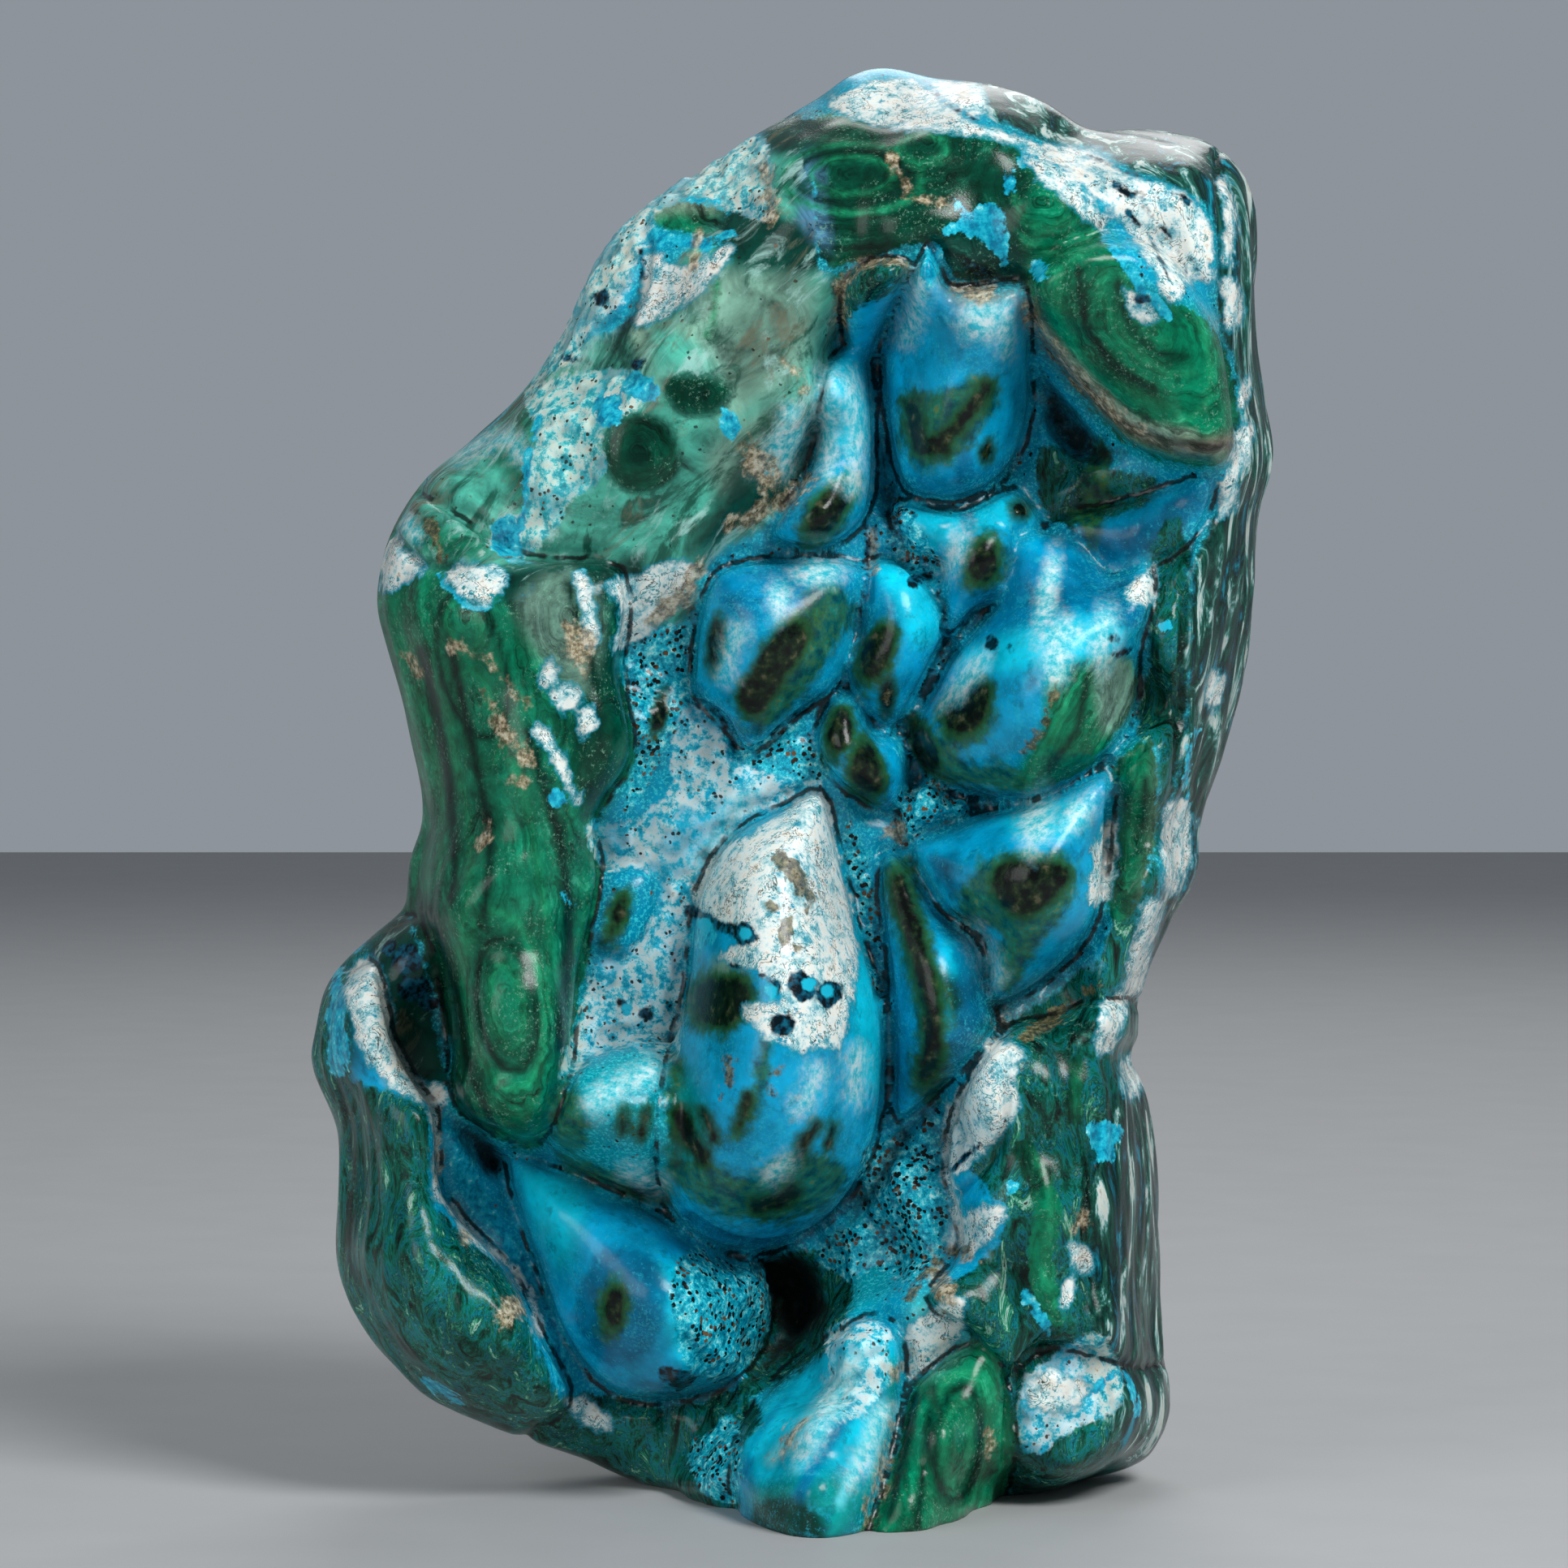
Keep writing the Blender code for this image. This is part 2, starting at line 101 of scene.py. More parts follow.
# Minerals of the ground back: size of an area in mm, how rare it is, where its noise starts
BACK_MINERALS = {
    "malachite": (30, 0.06, 11.0), "white": (22, 0.46, 21.0), "turquoise": (16, 0.46, 31.0),
    "crust": (26, 0.34, 41.0), "eye": (12, 0.48, 51.0), "royal": (16, 0.2, 61.0),
    "green": (14, 0.36, 71.0), "cream": (9, 0.58, 81.0), "mottled": (28, 0.22, 91.0),
}

# The layered side runs on round the back this far to the right of the middle, in mm
STREAK_STARTS = 15

# Soft lamps: name, place in m, width in m and power in W, and the room's share of the light
LAMPS = [
    ("key_softbox", (0.55, -0.62, 0.85), 0.42, 10.5),
    ("left_softbox", (-0.7, -0.7, 0.4), 0.6, 3.2),
    ("back_softbox", (0.1, 0.8, 0.7), 0.5, 2.0),
]
LAMP_TARGET = (0, 0, 0.09)
ROOM_LIGHT = 0.6
# The floor's width and middle in m, and the camera's sensor in mm
FLOOR_SIZE = 2.4
FLOOR_PLACE = (0, 0.35, 0)
SENSOR_WIDTH = 36.0

# Front outline, clockwise from the top
OUTLINE = [
    (1092, 94), (1149, 98), (1218, 103), (1284, 134), (1336, 162), (1427, 165), (1488, 176),
    (1535, 223), (1554, 305), (1555, 437), (1566, 560), (1547, 635), (1537, 701), (1514, 844),
    (1491, 940), (1465, 1021), (1469, 1075), (1450, 1138), (1416, 1227), (1410, 1280), (1398, 1303),
    (1413, 1340), (1420, 1458), (1413, 1602), (1418, 1672), (1432, 1730), (1412, 1785), (1366, 1820),
    (1300, 1842), (1242, 1850), (1209, 1880), (1129, 1910), (1014, 1925), (945, 1908), (899, 1880),
    (828, 1842), (755, 1805), (712, 1784), (619, 1755), (539, 1722), (483, 1672), (446, 1616),
    (425, 1543), (434, 1448), (428, 1384), (396, 1322), (391, 1282), (401, 1220), (434, 1180),
    (474, 1146), (505, 1122), (512, 1064), (526, 1004), (510, 906), (483, 799), (469, 733), (477, 661),
    (520, 586), (583, 537), (635, 486), (692, 393), (735, 315), (783, 258), (870, 203), (956, 155),
    (1016, 127), (1050, 104),
]

# Round the outline: across, down, depth of the edge, and how far the front rounds off
EDGE = [
    (1100, 94, 8, 12), (1300, 140, 10, 10), (1500, 185, 14, 9), (1560, 400, 16, 8), (1560, 580, 17, 8),
    (1520, 800, 17, 8), (1480, 1000, 17, 7), (1440, 1150, 17, 7), (1410, 1290, 15, 7),
    (1415, 1500, 15, 7), (1432, 1720, 10, 6), (1330, 1830, 6, 4), (1242, 1850, -2, 4),
    (1209, 1880, -12, 4), (1170, 1895, -20, 4), (1129, 1910, -28, 4), (1014, 1925, -34, 4),
    (945, 1908, -27, 4), (899, 1880, -13, 4), (860, 1860, -3, 5), (760, 1805, 8, 7), (640, 1760, 6, 9),
    (500, 1690, 4, 11), (425, 1540, 4, 12), (392, 1290, 6, 10), (470, 1146, 6, 8), (510, 1060, 8, 14),
    (500, 870, 8, 16), (470, 700, 6, 13), (560, 560, 8, 14), (700, 380, 8, 12), (860, 206, 8, 12),
    (1000, 130, 8, 12),
]

# Depth of the front before its lobes: across, down, depth
FRONT = [
    (1090, 125, -7), (1130, 210, -15), (1130, 280, -18), (1020, 200, -14), (1010, 300, -15),
    (1240, 190, -15), (1290, 260, -18), (1400, 240, -15), (1480, 290, -13), (1505, 420, -12),
    (1515, 560, -13), (1490, 700, -13), (1450, 800, -14), (1430, 950, -15), (1420, 1080, -15),
    (1385, 1230, -13), (1390, 1400, -11), (1390, 1560, -11), (1395, 1700, -12), (870, 230, -8),
    (780, 330, -8), (700, 430, -7), (930, 380, -15), (960, 480, -15), (860, 480, -16), (785, 560, -16),
    (860, 640, -13), (690, 560, -12), (590, 610, -9), (520, 650, -6), (575, 800, -13), (550, 950, -14),
    (640, 950, -15), (720, 760, -13), (740, 900, -13), (600, 1100, -16), (625, 1250, -18),
    (640, 1370, -17), (830, 820, -6), (920, 680, -8), (1000, 700, -7), (1100, 700, -5), (1060, 560, -3),
    (1090, 450, -2), (1200, 640, -6), (1280, 560, -2), (1350, 640, -4), (1430, 640, -6), (840, 950, -7),
    (1000, 960, -8), (790, 1080, -7), (780, 1230, -8), (1100, 1000, -5), (1130, 920, -4),
    (1400, 850, -8), (1390, 1050, -9), (1300, 1230, -8), (1150, 1390, -6), (1230, 1350, -14),
    (1260, 1500, -15), (1150, 1500, -10), (1080, 1540, -5), (1330, 1640, -14), (1150, 1620, -19),
    (1000, 1580, 0), (960, 1650, 3), (990, 1710, -8), (640, 1450, -1), (690, 1560, -2), (750, 1700, -3),
    (820, 1780, -2), (880, 1740, -3), (470, 1250, -7), (520, 1260, -2), (430, 1280, -6),
    (470, 1420, -10), (500, 1600, -12), (600, 1640, -12), (640, 1720, -9), (1060, 1660, -19),
    (1010, 1760, -27), (1000, 1850, -32), (945, 1850, -27), (930, 1790, -20), (1014, 1900, -34),
    (976, 1898, -33), (949, 1886, -29), (926, 1875, -22), (899, 1860, -13), (1100, 1860, -31),
    (1071, 1895, -33), (1129, 1887, -30), (1171, 1875, -24), (1209, 1857, -13), (1236, 1842, -5),
    (1190, 1690, -18), (1150, 1780, -25), (1230, 1780, -16), (1330, 1780, -13), (1400, 1770, -10),
]

# Depth of the back: across, down, depth
BACK = [
    (1100, 180, 22), (1400, 260, 25), (820, 380, 24), (1150, 450, 33), (1400, 620, 31), (700, 700, 29),
    (1000, 800, 38), (1380, 950, 33), (700, 1050, 32), (1060, 1200, 37), (1320, 1300, 31),
    (560, 1350, 22), (800, 1500, 34), (1150, 1600, 36), (620, 1640, 22), (1330, 1700, 30),
    (950, 1800, 33), (1200, 1850, 30),
]

# Lobes and slabs of the front: how far the middle stands out, how deep the seam round it
# sinks, how far its side rounds in (all mm), and its outline
LOBES = {
    "tall_teardrop": (12, 3, 9, [
        (1141, 300), (1110, 365), (1084, 430), (1088, 510), (1102, 580), (1122, 610), (1180, 618),
        (1240, 588), (1270, 525), (1273, 450), (1264, 352), (1215, 348), (1172, 352), (1156, 318)]),
    "shoulder": (8, 2, 3, [
        (1036, 410), (1040, 345), (1075, 318), (1122, 320), (1112, 360), (1086, 420), (1072, 450),
        (1050, 438)]),
    "left_finger": (9, 3, 5, [
        (1062, 400), (1078, 470), (1080, 590), (1062, 650), (1005, 682), (945, 658), (985, 592),
        (1008, 520), (1014, 455), (1042, 420)]),
    "black_eyed": (9, 2, 8, [
        (851, 850), (858, 760), (885, 700), (960, 686), (1060, 692), (1060, 750), (1040, 840),
        (985, 882), (925, 930), (890, 895)]),
    "two_eyed": (7, 2, 6, [
        (1064, 690), (1140, 702), (1168, 770), (1150, 820), (1120, 880), (1098, 902), (1060, 872),
        (1040, 828), (1058, 770)]),
    "twin_bud": (6, 2, 5, [
        (1038, 848), (1064, 862), (1078, 892), (1112, 905), (1124, 950), (1105, 1000), (1070, 996),
        (1020, 955), (1001, 915), (1014, 872)]),
    "high_shelf": (4, 1, 3, [
        (1096, 615), (1180, 628), (1250, 600), (1285, 640), (1262, 660), (1200, 650), (1165, 700),
        (1112, 672)]),
    "high_bud": (6, 2, 5, [
        (1178, 640), (1240, 632), (1263, 670), (1240, 735), (1200, 758), (1170, 792), (1157, 735),
        (1160, 680)]),
    "under_disc": (4, 2, 5, [
        (1290, 640), (1400, 610), (1490, 585), (1488, 640), (1440, 690), (1370, 708), (1330, 680)]),
    "right_shoulder": (7, 1, 5, [
        (1255, 655), (1330, 660), (1370, 705), (1420, 690), (1412, 780), (1340, 800), (1240, 780),
        (1225, 740)]),
    "right_lobe": (13, 3, 13, [
        (1176, 798), (1145, 852), (1118, 900), (1135, 950), (1180, 978), (1262, 988), (1345, 950),
        (1396, 890), (1407, 800), (1408, 740), (1340, 700), (1270, 710), (1212, 758)]),
    "right_low_lobe": (12, 3, 12, [
        (1118, 1050), (1145, 1026), (1210, 1000), (1275, 986), (1368, 948), (1370, 1030), (1355, 1130),
        (1315, 1190), (1250, 1236), (1215, 1232), (1212, 1160), (1160, 1122)]),
    "wedge": (4, 1, 4, [
        (1138, 955), (1172, 978), (1205, 995), (1140, 1026), (1112, 1042), (1106, 1000)]),
    "hanging_finger": (8, 2, 6, [
        (1086, 1048), (1118, 1056), (1160, 1124), (1205, 1160), (1222, 1232), (1228, 1270),
        (1165, 1340), (1104, 1382), (1098, 1290), (1092, 1190), (1080, 1100)]),
    "belly": (21, 3, 20, [
        (1013, 972), (1034, 1035), (1058, 1130), (1090, 1240), (1092, 1350), (1070, 1440), (1020, 1508),
        (945, 1545), (870, 1535), (820, 1490), (808, 1420), (818, 1320), (842, 1210), (856, 1100),
        (900, 1025), (965, 990)]),
    "belly_side": (13, 3, 10, [
        (690, 1330), (745, 1288), (830, 1284), (880, 1340), (880, 1470), (800, 1480), (720, 1458),
        (668, 1404)]),
    "blue_patch": (2, 1, 3, [
        (735, 1080), (800, 1070), (808, 1130), (770, 1180), (728, 1160)]),
    "low_belly": (14, 3, 14, [
        (622, 1430), (690, 1440), (800, 1486), (900, 1548), (948, 1560), (950, 1640), (905, 1702),
        (820, 1730), (750, 1716), (694, 1650), (655, 1550)]),
    "front_foot": (7, 2, 8, [
        (1085, 1618), (1118, 1668), (1098, 1790), (1062, 1900), (1010, 1950), (940, 1930), (900, 1850),
        (906, 1770), (960, 1690), (1030, 1640)]),
    "banded_foot": (5, 2, 7, [
        (1128, 1700), (1200, 1652), (1238, 1690), (1252, 1780), (1225, 1870), (1130, 1940),
        (1062, 1930), (1088, 1840), (1112, 1750)]),
    "rear_foot": (4, 1, 6, [
        (1250, 1706), (1310, 1650), (1400, 1690), (1450, 1750), (1420, 1830), (1300, 1880),
        (1240, 1860), (1244, 1780)]),
    "disc": (8, 2, 3, [
        (1262, 345), (1276, 402), (1330, 482), (1400, 552), (1480, 572), (1526, 552), (1512, 440),
        (1480, 360), (1420, 300), (1340, 296)]),
    "left_flange": (6, 2, 5, [
        (380, 640), (500, 600), (640, 680), (770, 700), (770, 830), (784, 930), (738, 1008),
        (742, 1084), (720, 1190), (704, 1320), (668, 1408), (622, 1404), (558, 1360), (548, 1270),
        (516, 1130), (380, 1060)]),
    "flap": (6, 1, 5, [
        (360, 1240), (430, 1190), (466, 1188), (486, 1272), (522, 1340), (540, 1372), (552, 1470),
        (626, 1556), (668, 1640), (700, 1740), (500, 1800), (340, 1600)]),
    "right_mass": (5, 1, 4, [
        (1245, 1262), (1300, 1250), (1350, 1230), (1420, 1260), (1440, 1500), (1440, 1680),
        (1300, 1660), (1245, 1690), (1190, 1640), (1140, 1600), (1180, 1530), (1160, 1430),
        (1190, 1330)]),
}

# Lobes that run into their neighbour with no crack between
MERGED_LOBES = ("belly_side", "blue_patch", "disc", "rear_foot")

# Deep openings, painted dark inside as shade: depth in mm, width of the bevelled lip, outline
CAVITIES = {
    "flap_gap": (12, 2.5, [
        (536, 1364), (560, 1366), (622, 1412), (622, 1450), (600, 1456), (566, 1412)]),
    "belly_gap": (9, 4, [
        (925, 1560), (985, 1536), (1020, 1580), (1030, 1630), (985, 1665), (925, 1716), (905, 1712),
        (950, 1640)]),
    "teardrop_gap": (7, 2, [
        (1076, 430), (1084, 450), (1098, 560), (1112, 620), (1100, 655), (1082, 640), (1078, 540)]),
    "disc_gap": (6, 3, [
        (1272, 430), (1300, 470), (1360, 540), (1400, 560), (1340, 575), (1285, 530)]),
    "rim_crack": (5, 2, [
        (786, 320), (796, 345), (788, 395), (762, 430), (776, 452), (752, 440), (735, 430),
        (768, 385)]),
    "belly_crease": (6, 3, [
        (1172, 1350), (1130, 1400), (1092, 1470), (1040, 1530), (1010, 1540), (1070, 1450),
        (1100, 1390)]),
}


def spot(across, down, half_width, half_height, turn=0):
    """An ellipse on the sheet, its tall axis leaning to the right by turn degrees."""
    return "spot", (across, down, half_width, half_height, math.radians(turn))


def patch(*points):
    """A patch with a round outline through the points."""
    return "patch", points


def line(width, *points):
    """A stroke of one width along the points."""
    return "line", (width, points)


def loop(width, across, down, half_width, half_height, turn=0):
    """A closed oval stroke, its tall axis leaning to the right by turn degrees."""
    lean = math.radians(turn)
    route = []
    for step in range(13):
        angle = step * math.pi / 6
        x, y = half_width * math.cos(angle), half_height * math.sin(angle)
        route.append((across + x * math.cos(lean) + y * math.sin(lean),
                      down - y * math.cos(lean) + x * math.sin(lean)))
    return line(width, *route)


# Cracks and grooves cut into the surface, and small grains that stand on it: across, down, radius
GROOVES = [
    line(6, (848, 862), (890, 885), (905, 925)), line(6, (1075, 640), (1070, 740)),
    line(6, (1100, 640), (1115, 690), (1160, 740), (1165, 780)),
    line(6, (850, 1500), (900, 1528), (960, 1532), (1020, 1510), (1060, 1465)),
    line(8, (518, 694), (564, 698), (600, 680)), line(8, (476, 648), (500, 676), (523, 698)),
    line(7, (1500, 190), (1508, 300), (1512, 420), (1530, 540)),
    line(7, (1462, 670), (1458, 800), (1450, 960)), line(7, (1408, 920), (1372, 960), (1366, 1100)),
    line(8, (1240, 1300), (1236, 1400), (1180, 1470)),
    line(8, (1296, 1640), (1250, 1700), (1240, 1800)),
    line(7, (1330, 1640), (1340, 1500), (1352, 1380)), line(8, (800, 300), (786, 372), (735, 402)),
]
NODULES = [
    (985, 1548, 18), (965, 1598, 15), (998, 1616, 20), (838, 1690, 24), (800, 1745, 20),
    (1257, 628, 14), (1146, 714, 8), (885, 1740, 18), (925, 1760, 14),
]
# Everything below is painted, not shape: mostly colour that the stone has in it, but also painted
# highlight in the pale clouds and painted shade in the creases and openings
# Black-green eyes in the middle of the lobes
EYES = [
    spot(1022, 628, 19, 46, 36), line(44, (928, 862), (950, 822), (976, 786)),
    spot(882, 795, 12, 36, 8), spot(1080, 806, 19, 36, 22), spot(1093, 858, 10, 25, 4),
    spot(1034, 902, 16, 33, 12), spot(1068, 950, 20, 36, -6), spot(1212, 692, 21, 27, 14),
    line(24, (1124, 500), (1132, 545), (1160, 548)), line(20, (1158, 545), (1190, 512), (1214, 478)),
    spot(1216, 556, 9, 14, 10), spot(1192, 872, 26, 38, 30), spot(1140, 922, 14, 36, -25),
    patch((1222, 1078), (1250, 1058), (1318, 1070), (1305, 1102), (1262, 1132), (1228, 1112)),
    line(26, (1107, 1086), (1122, 1140), (1140, 1205), (1150, 1262), (1142, 1322)),
    patch((852, 1222), (870, 1206), (910, 1204), (926, 1228), (912, 1254), (886, 1268), (858, 1256)),
    spot(757, 1612, 13, 27, 8), line(22, (838, 1372), (848, 1400), (866, 1424)),
    line(14, (770, 1368), (768, 1392)), line(12, (798, 1366), (790, 1400)),
    line(12, (922, 1350), (912, 1384)), line(16, (1006, 1388), (992, 1408), (980, 1432)),
    line(12, (1026, 1386), (1022, 1410)), line(22, (932, 1484), (958, 1480), (976, 1468)),
    spot(790, 1466, 22, 10, 0), line(14, (866, 1370), (880, 1400)), spot(762, 1128, 8, 26, 20),
    spot(812, 880, 9, 26, 14), spot(1257, 628, 12, 12),
]
# The greener stone round the eyes
GREENS = [
    patch((1110, 498), (1126, 480), (1158, 486), (1204, 462), (1230, 470), (1222, 506), (1196, 546),
        (1165, 574), (1126, 572), (1110, 540)),
    patch((1120, 880), (1150, 900), (1190, 940), (1250, 945), (1262, 972), (1200, 968), (1150, 950),
        (1128, 925)),
    patch((1180, 1110), (1215, 1060), (1252, 1050), (1325, 1062), (1312, 1120), (1280, 1160),
        (1250, 1215), (1232, 1210), (1232, 1150), (1190, 1135)),
    patch((684, 1352), (706, 1344), (724, 1400), (700, 1418), (684, 1396)),
    patch((690, 1420), (760, 1446), (812, 1448), (830, 1478), (780, 1476), (712, 1450)),
    patch((822, 1420), (870, 1436), (930, 1450), (980, 1420), (1040, 1440), (1020, 1484), (960, 1502),
        (890, 1496), (840, 1468)),
    line(14, (836, 1310), (826, 1360), (830, 1400)), line(14, (944, 1290), (932, 1350), (905, 1400)),
    spot(757, 1612, 20, 36, 8), spot(1212, 692, 28, 36, 14), spot(1190, 880, 34, 46, 30),
    spot(1034, 902, 21, 40, 12), spot(1066, 948, 26, 44, -6), spot(1080, 808, 24, 44, 22),
    line(40, (1107, 1080), (1124, 1150), (1142, 1215), (1150, 1265), (1144, 1335)),
    line(60, (936, 868), (975, 820), (1020, 750)), spot(1022, 628, 27, 54, 36),
    patch((848, 1216), (872, 1200), (922, 1200), (934, 1234), (912, 1262), (884, 1276), (850, 1262)),
    spot(1350, 600, 60, 16, 96), spot(1340, 640, 18, 12), spot(762, 1128, 14, 34, 20),
]
# Chalky white stone
WHITES = [
    patch((1022, 124), (1062, 106), (1100, 99), (1135, 104), (1165, 130), (1200, 152), (1252, 170),
        (1302, 188), (1290, 197), (1240, 173), (1190, 163), (1140, 159), (1090, 153), (1050, 142)),
    patch((1150, 104), (1192, 102), (1212, 122), (1205, 142), (1178, 130)),
    patch((1277, 184), (1344, 185), (1385, 214), (1423, 226), (1462, 247), (1487, 272), (1492, 348),
        (1468, 340), (1450, 373), (1430, 352), (1403, 299), (1371, 261), (1338, 229), (1300, 202)),
    patch((1264, 192), (1300, 203), (1335, 235), (1362, 272), (1362, 288), (1344, 275), (1318, 245),
        (1283, 220)),
    patch((1386, 358), (1404, 372), (1424, 394), (1400, 390)),
    patch((795, 312), (850, 330), (898, 300), (896, 318), (866, 352), (830, 378), (800, 400),
        (786, 396), (796, 352)),
    patch((1013, 976), (1026, 1030), (1042, 1100), (1052, 1170), (1046, 1240), (1030, 1286),
        (985, 1292), (940, 1272), (918, 1242), (956, 1236), (960, 1214), (930, 1196), (884, 1180),
        (922, 1158), (896, 1142), (860, 1118), (862, 1084), (892, 1046), (944, 1016)),
    patch((428, 1204), (448, 1184), (466, 1190), (476, 1240), (486, 1282), (512, 1330), (552, 1344),
        (552, 1356), (524, 1360), (486, 1340), (450, 1300), (432, 1250)),
    patch((1224, 1283), (1256, 1294), (1250, 1330), (1256, 1362), (1236, 1392), (1204, 1424),
        (1180, 1446), (1162, 1420), (1172, 1362), (1205, 1312)),
    line(10, (1164, 1440), (1182, 1500), (1172, 1530)),
    patch((1180, 1512), (1210, 1490), (1240, 1496), (1222, 1520), (1200, 1545), (1182, 1536)),
    patch((1353, 1290), (1356, 1240), (1376, 1222), (1386, 1236), (1372, 1286)),
    patch((1384, 1312), (1402, 1304), (1410, 1330), (1392, 1352)), spot(1332, 1552, 10, 18, -20),
    spot(1316, 1590, 7, 26, 10), patch((1262, 1712), (1300, 1690), (1340, 1712), (1300, 1740)),
    patch((477, 649), (500, 676), (523, 698), (500, 712), (474, 727), (470, 690)),
    patch((552, 706), (612, 697), (618, 718), (601, 744), (578, 738)),
    line(9, (664, 899), (688, 934), (710, 984)), line(9, (716, 712), (724, 750), (730, 790)),
    spot(698, 862, 17, 18), spot(676, 832, 10, 13, 20), spot(722, 888, 10, 14),
    patch((1408, 706), (1424, 700), (1416, 742), (1392, 734)),
    line(8, (1506, 222), (1516, 270), (1512, 325)), line(16, (1514, 350), (1522, 374), (1520, 396)),
    line(14, (1536, 530), (1524, 570), (1510, 628)), spot(1534, 484, 6, 14, 15),
    patch((1438, 1000), (1462, 990), (1468, 1050), (1448, 1100), (1434, 1080)),
    line(20, (1418, 1120), (1410, 1160), (1396, 1215)), spot(1496, 850, 9, 22, 8),
    line(7, (536, 1366), (540, 1430), (536, 1470), (560, 1490), (580, 1522), (604, 1540), (632, 1562),
        (656, 1604), (664, 1640)),
    patch((700, 1722), (730, 1730), (752, 1760), (720, 1756)),
    patch((750, 720), (800, 705), (840, 690), (860, 720), (820, 760), (780, 790), (752, 800),
        (770, 760)),
    patch((1376, 1020), (1364, 1104), (1342, 1108), (1350, 1050), (1362, 1020)),
    patch((1120, 1640), (1150, 1614), (1186, 1600), (1180, 1640), (1140, 1690), (1122, 1690)),
]
# Soft pale clouds in the blue, where the lobes catch the light: partly pale stone, partly painted
# highlight
PALES_AND_HIGHLIGHTS = [
    spot(1306, 784, 20, 18, 0), spot(1302, 812, 14, 24, 10), spot(1360, 786, 28, 12, 95),
    line(10, (975, 510), (985, 540), (960, 580)), spot(966, 548, 14, 34, 40),
    line(12, (1018, 465), (1014, 510), (1022, 580)), line(8, (1048, 470), (1056, 540), (1050, 600)),
    spot(1208, 394, 22, 20), line(12, (1134, 345), (1128, 380), (1118, 412)), spot(1238, 404, 8, 22),
    spot(1010, 705, 22, 12), spot(1276, 1012, 28, 16, 100), spot(1330, 1000, 10, 20, 40),
    line(14, (1046, 1690), (1020, 1740), (985, 1790)),
    line(9, (1088, 1740), (1070, 1790), (1050, 1820)), line(8, (1006, 1320), (998, 1345), (985, 1364)),
    line(8, (1056, 1300), (1054, 1352)), line(7, (930, 980), (900, 1010), (870, 1060)),
    spot(1290, 736, 40, 10, 100), spot(1178, 680, 8, 20, 20), spot(1190, 836, 10, 26, 40),
    line(6, (1200, 1150), (1226, 1200)), line(7, (905, 780), (895, 830)), spot(960, 740, 8, 14),
    line(7, (775, 1445), (810, 1460)), line(7, (950, 1450), (970, 1430)),
    line(12, (800, 1320), (760, 1340), (735, 1360)), line(10, (496, 636), (508, 656)),
    line(10, (560, 560), (620, 540), (640, 560)),
]
# Cream and tan seams and crumbs
CREAMS = [
    patch((1092, 186), (1108, 202), (1124, 232), (1150, 247), (1172, 255), (1142, 247), (1116, 240),
        (1102, 214)),
    line(11, (1268, 380), (1278, 406), (1302, 434), (1332, 468), (1368, 504), (1404, 532)),
    line(5, (556, 796), (600, 812), (628, 844), (652, 866)),
    line(16, (612, 890), (632, 912), (644, 934)), line(10, (596, 850), (608, 870)),
    spot(640, 962, 9, 7), patch((1170, 352), (1224, 348), (1222, 368), (1196, 372)),
    line(8, (1038, 400), (1040, 350), (1064, 326), (1110, 322)),
    line(14, (940, 205), (948, 240), (950, 268)), line(9, (575, 1520), (572, 1528)),
    spot(628, 1614, 16, 18), spot(855, 314, 26, 6, 100), line(16, (700, 770), (724, 796)),
    line(12, (716, 830), (708, 800)), spot(1186, 115, 7, 6), line(7, (1074, 650), (1072, 700)),
    spot(1100, 1022, 12, 10), line(8, (536, 1400), (538, 1450)),
    line(5, (596, 1006), (606, 1024), (590, 1044)), line(8, (506, 810), (512, 830)),
    line(8, (1104, 1690), (1128, 1660)), line(9, (1070, 1880), (1086, 1820), (1104, 1760)),
    spot(1218, 1775, 6, 12), spot(1160, 1580, 30, 14, 70), line(9, (1172, 1540), (1196, 1552)),
    line(8, (960, 1796), (990, 1750)), line(6, (1240, 1290), (1236, 1250)),
    line(22, (806, 760), (840, 735), (862, 705)), line(16, (900, 650), (945, 630), (996, 590)),
    spot(940, 575, 34, 18, 60), spot(1330, 1500, 10, 20), line(10, (968, 450), (990, 480)),
]
